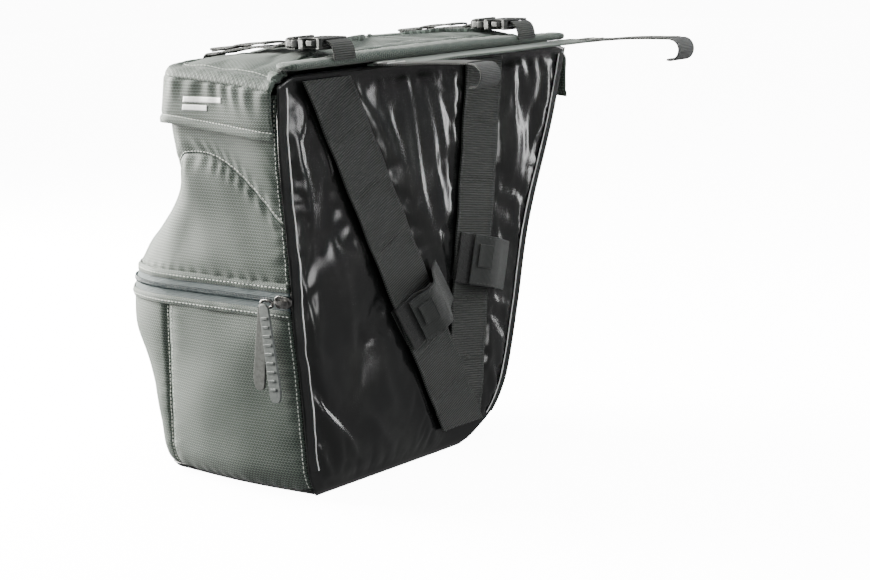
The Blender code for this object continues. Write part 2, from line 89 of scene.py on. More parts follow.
# %% Light the bag
def add_light(name, place, target, size, power, colour=(1, 1, 1)):
    """A rectangular light at a place, turned to face a target. Size is in metres, power in watts."""
    data = bpy.data.lights.new(name, "AREA")
    data.shape = "RECTANGLE"
    data.size, data.size_y = size
    data.energy = power
    data.color = colour
    light = bpy.data.objects.new(name, data)
    gaze = (Vector(target) - Vector(place)).to_track_quat("-Z", "Y").to_matrix().to_4x4()
    light.matrix_world = Matrix.Translation(place) @ gaze
    light.visible_camera = False
    bpy.context.scene.collection.objects.link(light)
    return light


BAG_MIDDLE = (0.0, 0.0, 0.18)
add_light("key_left", (-1.6, -0.45, 0.75), BAG_MIDDLE, (1.0, 1.4), 290, (1, 0.985, 0.93))
add_light("front_soft", (0.2, -2.0, 1.0), BAG_MIDDLE, (1.4, 1.0), 15)
add_light("top_soft", (0.1, 0.3, 1.8), BAG_MIDDLE, (1.0, 1.0), 26)
add_light("rack_side_strip", (0.95, 0.30, 0.50), (0.06, 0.0, 0.2), (0.16, 1.0), 7.0)
add_light("far_strip", (0.36, 1.05, 0.50), (0.06, 0.05, 0.2), (0.12, 1.0), 6.0)
add_light("near_strip", (1.15, -0.42, 0.55), (0.06, -0.05, 0.2), (0.10, 0.9), 3.5)


def make_world(seen, around):
    """A world that is white where it is seen, and dimmer where it lights and is reflected."""
    made = bpy.data.worlds.new("studio")
    made.use_nodes = True
    nodes, links = made.node_tree.nodes, made.node_tree.links
    path, blend = nodes.new("ShaderNodeLightPath"), nodes.new("ShaderNodeMixShader")
    far, wide = nodes["Background"], nodes.new("ShaderNodeBackground")
    far.inputs["Color"].default_value = wide.inputs["Color"].default_value = (1, 1, 1, 1)
    far.inputs["Strength"].default_value, wide.inputs["Strength"].default_value = around, seen
    links.new(path.outputs["Is Camera Ray"], blend.inputs[0])
    links.new(far.outputs[0], blend.inputs[1])
    links.new(wide.outputs[0], blend.inputs[2])
    links.new(blend.outputs[0], nodes["World Output"].inputs["Surface"])
    return made


bpy.context.scene.world = make_world(seen=12.0, around=0.32)


# %% [markdown]
# ## A small language for shaders
# Node trees get hard to read when they are wired by hand. One class wraps a socket, so that
# `1 - mask * 0.5` adds the Math nodes itself, and one method makes every other node.

# %% Shader expressions
class Value:
    """A shader output that Python's operators combine through Math nodes."""

    def __init__(self, finish, socket):
        self.finish, self.socket = finish, socket

    def math(self, operation, *others):
        values = dict(enumerate((self, *others)))
        return self.finish.node("ShaderNodeMath", {"operation": operation}, values)

    def __add__(self, other):
        return self.math("ADD", other)

    def __mul__(self, other):
        return self.math("MULTIPLY", other)

    def __sub__(self, other):
        return self.math("SUBTRACT", other)

    def __rsub__(self, other):
        return self.finish.node("ShaderNodeMath", {"operation": "SUBTRACT"}, {0: other, 1: self})

    def __truediv__(self, other):
        return self.math("DIVIDE", other)

    __radd__ = __add__
    __rmul__ = __mul__

    def wave(self, period):
        """0 to 1 and back, once in each period."""
        return (self * (2 * math.pi / period)).math("COSINE") * 0.5 + 0.5

    def ramp(self, low, high):
        """0 below low, 1 above high, with a smooth step between."""
        return self.finish.node(
            "ShaderNodeMapRange",
            {"interpolation_type": "SMOOTHSTEP"},
            {"Value": self, "From Min": low, "From Max": high},
        )


class Finish:
    """One material: a Principled shader whose constants are set by name, and its nodes."""

    def __init__(self, name, colour=(0.5, 0.5, 0.5), **constants):
        self.material = bpy.data.materials.new(name)
        self.material.use_nodes = True
        self.tree = self.material.node_tree
        self.shader = self.tree.nodes["Principled BSDF"]
        self.shader.inputs["Base Color"].default_value = (*colour, 1)
        for key, value in constants.items():
            self.shader.inputs[key.replace("_", " ").title().replace("Ior", "IOR")].default_value = value

    def node(self, kind, settings=None, values=None, out=0):
        """A node with its settings and inputs filled in, as the Value of one of its outputs."""
        made = self.tree.nodes.new(kind)
        for key, value in (settings or {}).items():
            setattr(made, key, value)
        for key, value in (values or {}).items():
            self.set(made.inputs[key], value)
        return Value(self, made.outputs[out])

    def set(self, socket, value):
        """Links a Value to a socket, or stores a number or a colour in it."""
        if isinstance(value, Value):
            self.tree.links.new(value.socket, socket)
        elif isinstance(value, tuple) and len(value) == 3 and socket.type == "RGBA":
            socket.default_value = (*value, 1)
        else:
            socket.default_value = value

    def feed(self, name, value):
        self.set(self.shader.inputs[name], value)

    def uv(self):
        """The piece's own cloth coordinates, in metres: across, then along."""
        place = self.node("ShaderNodeUVMap", {"uv_map": "cloth"})
        return [self.node("ShaderNodeSeparateXYZ", None, {0: place}, out) for out in (0, 1)]

    def spot(self):
        """Object coordinates, in metres."""
        return self.node("ShaderNodeTexCoord", None, None, "Object")

    def noise(self, place, scale, detail=2.0, roughness=0.5):
        values = {"Vector": place, "Scale": scale, "Detail": detail, "Roughness": roughness}
        return self.node("ShaderNodeTexNoise", None, values)

    def mix(self, share, low, high):
        """Colour between low and high. 0, 6, 7 and 2 are the Mix node's colour sockets."""
        return self.node("ShaderNodeMix", {"data_type": "RGBA"}, {0: share, 6: low, 7: high}, 2)

    def relief(self, height, distance, strength=1.0):
        values = {"Height": height, "Distance": distance, "Strength": strength}
        self.feed("Normal", self.node("ShaderNodeBump", None, values))


# %% [markdown]
# ## Finishes
# The grey cloth is a technical weave with rows of short pale floats on a darker ground. It
# is two cosine waves in the cloth's own coordinates, so it follows each panel as cut cloth does.
# Every other row is shifted by half a float, so that the floats are staggered.

# %% Cloth, webbing and tape finishes
def make_body_fabric():
    """Grey cloth: floats(across) x rows(along), with every other row shifted by half a float."""
    finish = Finish("body_fabric", roughness=0.62, sheen_weight=0.15, specular_ior_level=0.35)
    across, along = finish.uv()
    row_pitch, float_pitch = 0.0024, 0.0029
    row = along / row_pitch
    shift = row.math("FLOOR").math("MODULO", 2.0) * (float_pitch / 2)
    floats = (across + shift).wave(float_pitch).ramp(0.32, 0.68)
    rows = along.wave(row_pitch).ramp(0.25, 0.75)
    dots = floats * rows + (1.0 - rows) * 0.22
    spot = finish.spot()
    cloudy = finish.noise(spot, 14, 3)
    fine = finish.noise(spot, 900, 2)
    ground = finish.mix(cloudy, (0.004, 0.009, 0.006), (0.008, 0.014, 0.01))
    finish.feed("Base Color", finish.mix(dots * (0.7 + fine * 0.6), ground, (0.098, 0.136, 0.108)))
    finish.feed("Roughness", 0.7 - dots * 0.2)
    finish.relief(dots + fine * 0.15, 0.0004, 0.8)
    return finish.material


def make_coated_fabric():
    """Black coated cloth: a clear gloss over a fine scrim that shows where light rakes across."""
    finish = Finish("black_coated_fabric", roughness=0.16, specular_ior_level=0.45)
    across, along = finish.uv()
    pitch = 0.0017
    scrim = (across + along).wave(pitch) * 0.5 + (across - along).wave(pitch) * 0.5
    spot = finish.spot()
    rub = finish.noise(spot, 22, 4, 0.6)
    finish.feed("Base Color", finish.mix(rub.ramp(0.45, 0.75), (0.006, 0.0065, 0.0065), (0.016, 0.017, 0.016)))
    finish.feed("Roughness", 0.13 + rub * 0.1 + scrim * 0.03)
    finish.relief(scrim, 0.00006, 0.55)
    return finish.material


def make_webbing(name, dark, light, pitch, roughness=0.7):
    """Ribbed tape: ribs across its width, with a fine warp in its relief."""
    finish = Finish(name, roughness=roughness, sheen_weight=0.1, specular_ior_level=0.35)
    across, along = finish.uv()
    ribs = along.wave(pitch)
    warp = across.wave(0.0011)
    fine = finish.noise(finish.spot(), 700, 2)
    colour = finish.mix(ribs.ramp(0.25, 0.85) * (0.55 + fine * 0.6), dark, light)
    finish.feed("Base Color", colour)
    finish.relief(ribs * 0.8 + warp * 0.25 + fine * 0.2, 0.0005, 0.9)
    return finish.material


def make_loop_tape():
    """The fuzzy half of hook and loop: a fine pile times larger tufts."""
    finish = Finish("loop_tape", roughness=0.95, sheen_weight=0.12, sheen_roughness=0.5)
    spot = finish.spot()
    pile = finish.noise(spot, 900, 4, 0.75)
    tufts = finish.noise(spot, 260, 3, 0.6)
    finish.feed("Base Color", finish.mix(pile * tufts * 1.6, (0.003, 0.003, 0.003), (0.024, 0.026, 0.025)))
    finish.relief(pile + tufts, 0.0009, 0.8)
    return finish.material


def make_plain(name, low, high, scale, roughness, bump=0.0, **constants):
    """A plain material with a faint mottle and, if asked, a fine grain."""
    finish = Finish(name, roughness=roughness, **constants)
    mottle = finish.noise(finish.spot(), scale, 4, 0.6)
    finish.feed("Base Color", finish.mix(mottle.ramp(0.3, 0.7), low, high))
    finish.feed("Roughness", roughness - 0.06 + mottle * 0.12)
    if bump:
        finish.relief(mottle, bump, 0.6)
    return finish.material


body_fabric = make_body_fabric()
coated = make_coated_fabric()
webbing = make_webbing("webbing", (0.004, 0.005, 0.004), (0.022, 0.027, 0.023), 0.0021)
strap_webbing = make_webbing("strap_webbing", (0.005, 0.006, 0.005), (0.026, 0.031, 0.026), 0.0017)
hook_tape = make_webbing("hook_tape", (0.012, 0.014, 0.013), (0.032, 0.036, 0.034), 0.00115, 0.6)
zip_tape = make_webbing("zip_tape", (0.028, 0.046, 0.05), (0.085, 0.118, 0.122), 0.0012, 0.65)
loop_tape = make_loop_tape()
lining = make_plain("lining", (0.16, 0.17, 0.16), (0.22, 0.23, 0.22), 300, 0.8, 0.0003)
board = make_plain("stiffener_board", (0.03, 0.03, 0.03), (0.05, 0.05, 0.05), 60, 0.5, 0.0002)
plastic = make_plain("buckle_plastic", (0.01, 0.011, 0.01), (0.02, 0.022, 0.02), 240, 0.42, 0.00006)
coil_plastic = make_plain("zip_coil", (0.03, 0.042, 0.046), (0.065, 0.085, 0.09), 400, 0.4, 0.0001)
nickel = make_plain("zip_metal", (0.05, 0.048, 0.046), (0.24, 0.235, 0.23), 180, 0.26, 0.00008, metallic=1.0)
pull_rubber = make_plain("zip_pull", (0.05, 0.058, 0.056), (0.08, 0.092, 0.088), 420, 0.55, 0.0002)
pull_back = make_plain("zip_pull_back", (0.02, 0.022, 0.02), (0.05, 0.055, 0.05), 420, 0.7, 0.0003)
pale_thread = make_plain("pale_thread", (0.62, 0.65, 0.6), (0.85, 0.87, 0.82), 900, 0.6, 0.0001)
dark_thread = make_plain("dark_thread", (0.02, 0.022, 0.02), (0.07, 0.075, 0.07), 900, 0.6, 0.0001)
# This white is the skirt's print, and also the painted highlight on the seam beads of the back.
print_and_painted_highlight = make_plain("print_and_painted_highlight", (0.82, 0.83, 0.82), (0.92, 0.93, 0.92), 500, 0.45, 0.0001)


# %% [markdown]
# ## Making surfaces
# Every soft piece is a grid of points worked out as arrays. The grid's own lengths, in metres,
# become its cloth coordinates. A Solidify modifier gives the cloth its thickness.

# %% Mesh makers
def make_mesh(name, points, faces, material, body, uv=None, replaces=()):
    """A finished object at the origin. uv holds one (across, along) pair in millimetres a point."""
    mesh = bpy.data.meshes.new(name)
    mesh.from_pydata((np.asarray(points, float) * MM).tolist(), [], [list(f) for f in faces])
    mesh.materials.append(material)
    mesh.shade_smooth()
    if uv is not None:
        layer = mesh.uv_layers.new(name="cloth")
        corners = np.empty(len(mesh.loops), int)
        mesh.loops.foreach_get("vertex_index", corners)
        layer.data.foreach_set("uv", (np.asarray(uv, float)[corners] * MM).ravel())
    obj = bpy.data.objects.new(name, mesh)
    bpy.context.scene.collection.objects.link(obj)
    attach(obj, body)
    if replaces:
        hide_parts(*replaces)
    return obj


def grid_faces(rows, columns, flip=False, closed=False):
    """Quads of a grid. A closed grid joins its last column to its first."""
    r, c = np.meshgrid(np.arange(rows - 1), np.arange(columns if closed else columns - 1), indexing="ij")
    d = (c + 1) % columns
    quads = np.stack([r * columns + c, r * columns + d, (r + 1) * columns + d, (r + 1) * columns + c], -1)
    quads = quads.reshape(-1, 4)
    return quads[:, ::-1] if flip else quads


def lengths(points, axis):
    """Distance along one axis of a grid, from its first row or column."""
    steps = np.linalg.norm(np.diff(points, axis=axis), axis=2)
    pad = [(0, 0), (0, 0)]
    pad[axis] = (1, 0)
    return np.pad(np.cumsum(steps, axis=axis), pad)


def normals(points):
    """Unit normals of a grid: columns direction crossed with rows direction."""
    down = np.gradient(points, axis=0)
    over = np.gradient(points, axis=1)
    normal = np.cross(over, down)
    return normal / np.maximum(np.linalg.norm(normal, axis=2, keepdims=True), 1e-9)


def thicken(obj, thickness):
    """Gives a sheet its thickness, away from its outer side."""
    solid = obj.modifiers.new("thickness", "SOLIDIFY")
    solid.thickness, solid.offset = thickness * MM, -1.0


def cloth_panel(name, points, material, body, thickness=1.2, uv=None, replaces=(), flip=False):
    """A panel from a grid of outer points, thickened away from its outer side."""
    rows, columns = points.shape[:2]
    if uv is None:
        uv = np.stack([lengths(points, 1), lengths(points, 0)], axis=2)
    obj = make_mesh(name, points.reshape(-1, 3), grid_faces(rows, columns, flip), material, body,
                    uv.reshape(-1, 2), replaces)
    thicken(obj, thickness)
    print(f"{name}: {rows} x {columns} points")
    return obj


def sample(points, row, column):
    """Points read from a grid at fractional rows and columns, by mixing the four nearest."""
    r = np.clip(row, 0, points.shape[0] - 1.001)
    c = np.clip(column, 0, points.shape[1] - 1.001)
    i, j = r.astype(int), c.astype(int)
    s, t = (r - i)[:, None], (c - j)[:, None]
    return ((1 - s) * (1 - t) * points[i, j] + (1 - s) * t * points[i, j + 1]
            + s * (1 - t) * points[i + 1, j] + s * t * points[i + 1, j + 1])


def run_along(line):
    """Distance along a line of points, from its first."""
    return np.append(0, np.cumsum(np.linalg.norm(np.diff(line, axis=0), axis=1)))


def at_runs(places, run, line):
    """Points of a line, read at distances along it."""
    return np.stack([np.interp(places, run, line[:, k]) for k in range(line.shape[1])], axis=1)


def smooth_route(points, steps):
    """Points read evenly from a Catmull-Rom curve through the given ones."""
    points = np.asarray(points, float)
    padded = np.vstack([2 * points[0] - points[1], points, 2 * points[-1] - points[-2]])
    places = np.linspace(0, len(points) - 1, 12 * steps)
    index = np.minimum(places.astype(int), len(points) - 2)
    t = (places - index)[:, None]
    a, b, c, d = (padded[index + k] for k in range(4))
    curve = 0.5 * (2 * b + (c - a) * t + (2 * a - 5 * b + 4 * c - d) * t**2
                   + (3 * b - a - 3 * c + d) * t**3)
    run = run_along(curve)
    even = np.linspace(0, run[-1], steps)
    return at_runs(even, run, curve)


def signed_power(values, power):
    """Values raised to a power with their signs kept, which squares off a circle."""
    return np.sign(values) * np.abs(values) ** power


def swell(place, size, seed, waves=7):
    """A smooth random height, about -1 to 1: plane waves in random directions, of about one size."""
    rng = np.random.default_rng(seed)
    total = np.zeros(place.shape[:-1])
    for _ in range(waves):
        heading = rng.normal(size=3)
        heading /= np.linalg.norm(heading)
        step = size * rng.uniform(0.7, 1.5)
        total += np.sin(place @ heading * 2 * math.pi / step + rng.uniform(0, 2 * math.pi))
    return total / math.sqrt(waves)


def tape(name, route, across, width, thickness, material, body, replaces=(), round_edge=0.45,
         curl=0.0):
    """A closed flat strap: a rounded rectangle carried along a route. Its near face is on the
    route, and it grows along across x travel. curl bows its width by that many millimetres."""
    route = np.asarray(route, float)
    across = np.asarray(across, float)
    if across.ndim == 1:
        across = np.tile(across / np.linalg.norm(across), (len(route), 1))
    travel = np.gradient(route, axis=0)
    travel /= np.linalg.norm(travel, axis=1)[:, None]
    out = np.cross(across, travel)
    out /= np.linalg.norm(out, axis=1)[:, None]
    flat = np.linspace(-1, 1, 11)
    half, edge = width / 2, thickness * round_edge
    top = np.stack([flat * (half - edge * 0.5), np.full(11, thickness)], 1)
    side = np.array([[half, thickness * 0.5]])
    low = np.stack([-flat * (half - edge * 0.5), np.zeros(11)], 1)
    section = np.vstack([top, side, low, side * [-1, 1]])
    bow = curl * (1 - (section[:, 0] / half) ** 2)
    rings = (route[:, None] + across[:, None] * section[None, :, :1]
             + out[:, None] * (section[None, :, 1:] + bow[None, :, None]))
    count, size = rings.shape[:2]
    run = run_along(route)
    slant = ((rings - route[:, None]) * travel[:, None]).sum(axis=2)
    uv = np.stack([np.broadcast_to(section[:, 0], slant.shape), run[:, None] + slant], axis=2)
    faces = [tuple(f) for f in grid_faces(count, size, closed=True)]
    faces += [tuple(range(size))[::-1], tuple((count - 1) * size + np.arange(size))]
    obj = make_mesh(name, rings.reshape(-1, 3), faces, material, body, uv.reshape(-1, 2), replaces)
    obj.data.set_sharp_from_angle(angle=math.radians(50))
    return obj


# %% [markdown]
# ## Stitches
# A sewn line is what tells the eye that panels are joined. Each stitch is a small closed grain of
# thread, half sunk in the cloth, and one mesh holds all the stitches of a line.

# %% Stitch makers
THREAD_LINES = {}


def grain():
    """A stitch: an ellipsoid of 8 x 5 points, one unit long, wide and high."""
    turn, lift = np.meshgrid(np.linspace(0, 2 * math.pi, 8, endpoint=False), np.linspace(0, math.pi, 6)[1:-1])
    body = np.stack([np.cos(lift), np.sin(lift) * np.cos(turn), np.sin(lift) * np.sin(turn)], 2) / 2
    points = np.vstack([[[0.5, 0, 0]], body.reshape(-1, 3), [[-0.5, 0, 0]]])
    faces = [tuple(f + 1) for f in grid_faces(4, 8, flip=True, closed=True)]
    faces += [(0, 1 + c, 1 + (c + 1) % 8) for c in range(8)]
    faces += [(33, 25 + (c + 1) % 8, 25 + c) for c in range(8)]
    return points, faces


def sew(group, line, outward, pitch=3.6, fill=0.72, width=0.75, height=0.55, lift=0.1):
    """Stitches along a line of points. outward is the cloth's outward direction, for all of the
    line or for each point."""
    run = run_along(line)
    count = max(int(run[-1] / pitch), 1)
    middle = (np.arange(count) + 0.5) * run[-1] / count
    ends = [at_runs(middle + side * pitch * fill / 2, run, line) for side in (-1, 1)]
    up = at_runs(middle, run, np.broadcast_to(outward, line.shape))
    travel = ends[1] - ends[0]
    reach = np.linalg.norm(travel, axis=1, keepdims=True)
    travel /= np.maximum(reach, 1e-9)
    across = np.cross(up, travel)
    across /= np.maximum(np.linalg.norm(across, axis=1, keepdims=True), 1e-9)
    up = np.cross(travel, across)
    points = grain()[0]
    centre = (ends[0] + ends[1]) / 2 + up * lift
    placed = (centre[:, None] + travel[:, None] * points[None, :, :1] * reach[:, None]
              + across[:, None] * points[None, :, 1:2] * width + up[:, None] * points[None, :, 2:] * height)
    THREAD_LINES.setdefault(group, []).append(placed)


def finish_threads():
    """One mesh for each group of stitched lines. A group is (name, body, slot, material); its slot is not used.
    """
    for (name, body, slot, material), lines in THREAD_LINES.items():
        placed = np.vstack(lines)
        count, size = placed.shape[:2]
        shape = grain()[1]
        faces = [tuple(v + k * size for v in face) for k in range(count) for face in shape]
        make_mesh(name, placed.reshape(-1, 3), faces, material, body)
        print(f"{name}: {count} stitches")


# %% [markdown]
# ## The soft body
# In plan the wall is a U: near end, rounded corner, outer face, rounded corner, far end. Its size
# changes with height, which the stations below give. Between them the wall follows a smooth curve,
# so that the cloth hangs without corners.

# %% Wall shape
BACK_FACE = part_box("back_panel")[1].x / MM
WALL_END = BACK_FACE - 3.0
PANEL_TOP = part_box("back_panel")[1].z / MM
ZIP_BOTTOM, ZIP_TOP = 157.0, 174.0
BOTTOM_ROUND = 9.0
LINER_X, LINER_INSET = -62.0, 9.0
NEAR_EDGE = [(0, -143), (4, -151), (12, -156), (24, -159.5), (45, -161), (107, -165), (157, -170),
             (174, -170), (225, -173), (287, -177), (344, -175)]
FAR_EDGE = [(0, 22), (4, 40), (12, 60), (24, 82), (40, 97), (56, 106), (113, 124), (180, 142),
            (281, 186), (344, 208)]
OUTER_FACE = [(0, -103), (4, -110), (12, -115), (24, -118), (45, -124), (80, -134), (120, -148),
              (157, -159), (174, -154), (262, -66), (300, -71), (344, -66)]
CORNER_DEPTH = [(0, 12), (12, 17), (24, 20), (45, 28), (80, 41), (120, 60), (157, 76.5), (174, 76),
                (262, 25), (300, 22), (344, 24)]
CORNER_LENGTH = [(0, 10), (12, 14), (24, 16), (45, 24), (80, 27), (120, 31), (157, 49), (174, 54),
                 (262, 22), (300, 20), (344, 24)]
END_BULGE = [(0, 4), (24, 8), (60, 8), (120, 5), (157, 0), (174, 0), (200, 2), (250, 1), (280, 0)]


def read(stations, height):
    """Smooth curve through stations: cubic pieces whose slopes are limited, so it never overshoots."""
    h, v = np.array(stations, float).T
    step = np.diff(v) / np.diff(h)
    slope = np.zeros_like(v)
    inner = step[1:] * step[:-1] > 0
    slope[1:-1] = np.where(inner, 2 * step[1:] * step[:-1] / np.where(inner, step[1:] + step[:-1], 1), 0)
    slope[0], slope[-1] = step[0], step[-1]
    i = np.clip(np.searchsorted(h, height) - 1, 0, len(h) - 2)
    span = h[i + 1] - h[i]
    t = np.clip((height - h[i]) / span, 0, 1)
    return (v[i] * (1 + 2 * t) * (1 - t) ** 2 + v[i + 1] * t * t * (3 - 2 * t)
            + span * (slope[i] * t * (1 - t) ** 2 + slope[i + 1] * t * t * (t - 1)))


def bottom_roll(height):
    """How far the back's lower edge has rolled under: a quarter circle at the foot of the panel."""
    low = np.clip(BOTTOM_ROUND - height, 0, BOTTOM_ROUND)
    return BOTTOM_ROUND - np.sqrt(BOTTOM_ROUND**2 - low**2)


def wall(u, height, grow=0.0, liner=False):
    """Points of the wall. u runs 0 to 5 round the U, one unit for each stretch. Corners are quarter
    ellipses, and both ends swell by a half sine. The liner has a flat outer side of its own."""
    near = read(NEAR_EDGE, height) - grow
    far = read(FAR_EDGE, height) + grow
    outer = LINER_X + 0 * height if liner else read(OUTER_FACE, height) - grow
    depth = 20.0 + 0 * height if liner else read(CORNER_DEPTH, height)
    length = 20.0 + 0 * height if liner else read(CORNER_LENGTH, height)
    end = WALL_END - bottom_roll(height)
    v = np.where(u > 2.5, 5.0 - u, u)
    on_end = np.clip(v, 0, 1)
    turn = np.clip(v - 1, 0, 1) * math.pi / 2
    x = end + (outer + depth - end) * on_end - depth * np.sin(turn)
    inset = length * (1 - np.cos(turn))
    puff = read(END_BULGE, height) * np.sin(math.pi * on_end) * (v < 1) * (grow == 0)
    near_y, far_y = near + inset - puff, far - inset + puff
    y = np.where(u > 3, far_y, near_y + (far_y - near_y) * np.clip(u - 2, 0, 1))
    return np.stack([x, y, height + 0 * x], axis=-1)


def arch(u):
    """Height of the arched seam: a quarter sine up each end, then an easy fall to the outer run."""
    v = np.minimum(u, 5 - u)
    rise = 225 + 55 * np.sin(np.clip(v / 0.83, 0, 1) * math.pi / 2)
    fall = 257 + 23 * (0.5 + 0.5 * np.cos(math.pi * np.clip((v - 0.83) / 1.17, 0, 1)))
    return np.where(v < 0.83, rise, fall)


def even_columns(start, end, height, step):
    """Values of u that lie about one step apart along the wall at a given height."""
    fine = np.linspace(start, end, 900)
    line = wall(fine, np.full_like(fine, height))
    run = run_along(line)
    return np.interp(np.linspace(0, run[-1], int(run[-1] / step) + 2), run, fine)


def wall_grid(columns, low, high, rows, grow=0.0, liner=False):
    """A grid on the wall between two heights, which may vary along it."""
    share = np.linspace(0, 1, rows)[:, None]
    low = np.broadcast_to(low, columns.shape)
    high = np.broadcast_to(high, columns.shape)
    height = low + (high - low) * share
    return wall(np.broadcast_to(columns, height.shape), height, grow, liner)


def ease(distance, reach):
    """1 at a seam, falling to 0 away from it as a bell."""
    return np.exp(-((distance / reach) ** 2))


def pull_in(points, seams, depth=1.3, reach=6.0, pucker=0.35, pitch=13.0, drape=0.9, seed=1):
    """Sewn cloth: it dips along the named seams, puckers beside them and swells a little between.
    seams is any of top, bottom, start and end."""
    out = -normals(points)
    up, over = lengths(points, 0), lengths(points, 1)
    gaps = {"bottom": up, "top": up[-1:] - up, "start": over, "end": over[:, -1:] - over}
    run = {"bottom": over, "top": over, "start": up, "end": up}
    height = swell(points, 85, seed) * drape + swell(points, 34, seed + 50) * drape * 0.3
    for k, seam in enumerate(seams):
        near = ease(gaps[seam], reach)
        wobble = np.sin(run[seam] * 2 * math.pi / pitch + 2.2 * swell(points, 60, seed + k))
        height = height * (1 - 0.8 * ease(gaps[seam], reach * 2)) - depth * near
        height += pucker * wobble * ease(gaps[seam] - reach * 0.9, reach * 1.1)
    return points + out * height[..., None]


def cloth_uv(points):
    """Cloth coordinates of a wall panel: across from its start, and along by its height."""
    return np.stack([lengths(points, 1), points[..., 2]], axis=2)


# %% Settle cloth by simulation
def settle(grid, pinned, pressure, cap, shrink=0.0, frames=20):
    """Lets a panel's cloth settle under a little air pressure, with some of its points held by
    their seams. No point moves further than the cap, in millimetres."""
    mesh = bpy.data.meshes.new("settling")
    mesh.from_pydata((grid.reshape(-1, 3) * MM).tolist(), [], grid_faces(*grid.shape[:2], flip=True).tolist())
    obj = bpy.data.objects.new("settling", mesh)
    bpy.context.scene.collection.objects.link(obj)
    obj.vertex_groups.new(name="seams").add(np.flatnonzero(pinned.ravel()).tolist(), 1.0, "REPLACE")
    cloth = obj.modifiers.new("cloth", "CLOTH")
    cloth.settings.vertex_group_mass = "seams"
    cloth.settings.use_pressure = True
    cloth.settings.uniform_pressure_force = pressure
    cloth.settings.effector_weights.gravity = 0
    cloth.settings.shrink_min = cloth.settings.shrink_max = shrink
    cloth.settings.tension_stiffness = cloth.settings.compression_stiffness = 40
    cloth.settings.bending_stiffness = 1.5
    cloth.settings.quality = 6
    cloth.point_cache.frame_start, cloth.point_cache.frame_end = 1, frames
    for frame_number in range(1, frames + 1):
        bpy.context.scene.frame_set(frame_number)
    settled = obj.evaluated_get(bpy.context.evaluated_depsgraph_get()).data
    points = np.empty(len(settled.vertices) * 3)
    settled.vertices.foreach_get("co", points)
    move = points.reshape(grid.shape) / MM - grid
    size = np.linalg.norm(move, axis=2, keepdims=True)
    bpy.data.objects.remove(obj)
    bpy.data.meshes.remove(mesh)
    bpy.context.scene.frame_set(1)
    print(f"settled {grid.shape[0]} x {grid.shape[1]} points, mean move {size.mean():.2f} mm")
    return grid + move * cap * np.tanh(size / cap) / np.maximum(size, 1e-9)


# %% Pocket and body panels
PANEL_STEP = 2.4
panels = {}


def sew_panel(name, start, end, low, high, rows, seams, seed, material=body_fabric, body="bag", **look):
    """One wall panel between two heights. It keeps its grid, so that stitches can find it later."""
    columns = even_columns(start, end, float(np.mean(low(np.linspace(start, end, 9)))), PANEL_STEP)
    base = wall_grid(columns, low(columns), high(columns), rows)
    grid = pull_in(base, seams, seed=seed, **look)
    panels[name] = (grid, -normals(base), columns)
    return cloth_panel(name + "_cloth", grid, material, body, uv=cloth_uv(grid),
                       replaces=[name], flip=True)


def level(height):
    """A height that is the same all the way round the wall."""
    return lambda u: np.full_like(u, height)


def sew_row(group, name, share, side=0.0, **stitch):
    """Stitches along a panel at a share of its height, or side millimetres from that row."""
    grid, outward, _ = panels[name]
    step = np.linalg.norm(grid[1, 0] - grid[0, 0])
    row = np.full(grid.shape[1], share * (len(grid) - 1) + side / step)
    column = np.arange(grid.shape[1], dtype=float)
    sew(group, sample(grid, row, column), sample(outward, row, column), **stitch)


def sew_column(group, name, u, low=0.0, high=1.0, **stitch):
    """Stitches up a panel at one place u along the wall."""
    grid, outward, columns = panels[name]
    row = np.linspace(low, high, 60) * (len(grid) - 1)
    column = np.full(60, np.interp(u, columns, np.arange(len(columns))))
    sew(group, sample(grid, row, column), sample(outward, row, column), **stitch)


STEP = 0.006
sew_panel("pocket_end_near", 0, 1 - STEP, level(3.2), level(157.5), 62, ("bottom", "start", "end"), 3)
sew_panel("pocket_front", 1, 4, level(3.2), level(157.5), 62, ("bottom", "start", "end"), 4, drape=1.3)
sew_panel("pocket_end_far", 4 + STEP, 5, level(3.2), level(157.5), 62, ("bottom", "start", "end"), 5)
sew_panel("pocket_roof", 0, 5, level(173.5), arch, 34, ("bottom", "top", "start", "end"), 6,
          pucker=0.5, drape=1.2)
sew_panel("upper_body", 0, 5, lambda u: arch(u) + 0.2, level(329.0), 30, ("bottom", "start", "end"), 7,
          pucker=0.5, drape=1.2)
liner_columns = even_columns(0, 5, 120.0, 5.0)
liner = wall_grid(liner_columns, 16.0, 219.0, 40, grow=-LINER_INSET, liner=True)
cloth_panel("inner_lining", pull_in(liner, (), seed=8, drape=0.6), lining, "bag", 1.6,
            cloth_uv(liner), ["inner_wall"], flip=True)

# %% Stitch the body
BAG_PALE = ("body_stitches", "bag", "body_fabric", pale_thread)
sew_row(BAG_PALE, "upper_body", 0, 3.2, pitch=3.6)
for u, panel in ((0.975, "pocket_end_near"), (1.012, "pocket_front"), (3.988, "pocket_front"),
                 (4.025, "pocket_end_far")):
    sew_column(BAG_PALE, panel, u, 0.02, 0.97, pitch=3.4, width=0.8)
for panel, u in (("pocket_end_near", 0.02), ("pocket_roof", 0.02), ("pocket_end_far", 4.98),
                 ("pocket_roof", 4.98), ("upper_body", 0.02), ("upper_body", 4.98)):
    sew_column(BAG_PALE, panel, u, 0.03, 0.97, pitch=3.6)


# %% [markdown]
# ## The zip
# A coil zip has two woven tapes and two nylon coils that mesh in the middle. The coil is not a
# smooth line: each turn is a small grain that lies across the line, so the same grain that makes a
# stitch can make it. Folded cloth edges frame the tapes.

# %% Zip tapes, folds and coil
zip_columns = even_columns(0, 5, 165.0, PANEL_STEP)


def ring(height, grow=0.0):
    """A line round the wall at one height, with the outward direction at each point."""
    grid = wall_grid(zip_columns, height - 0.5, height + 0.5, 3, grow)
    return grid[1], -normals(grid)[1]


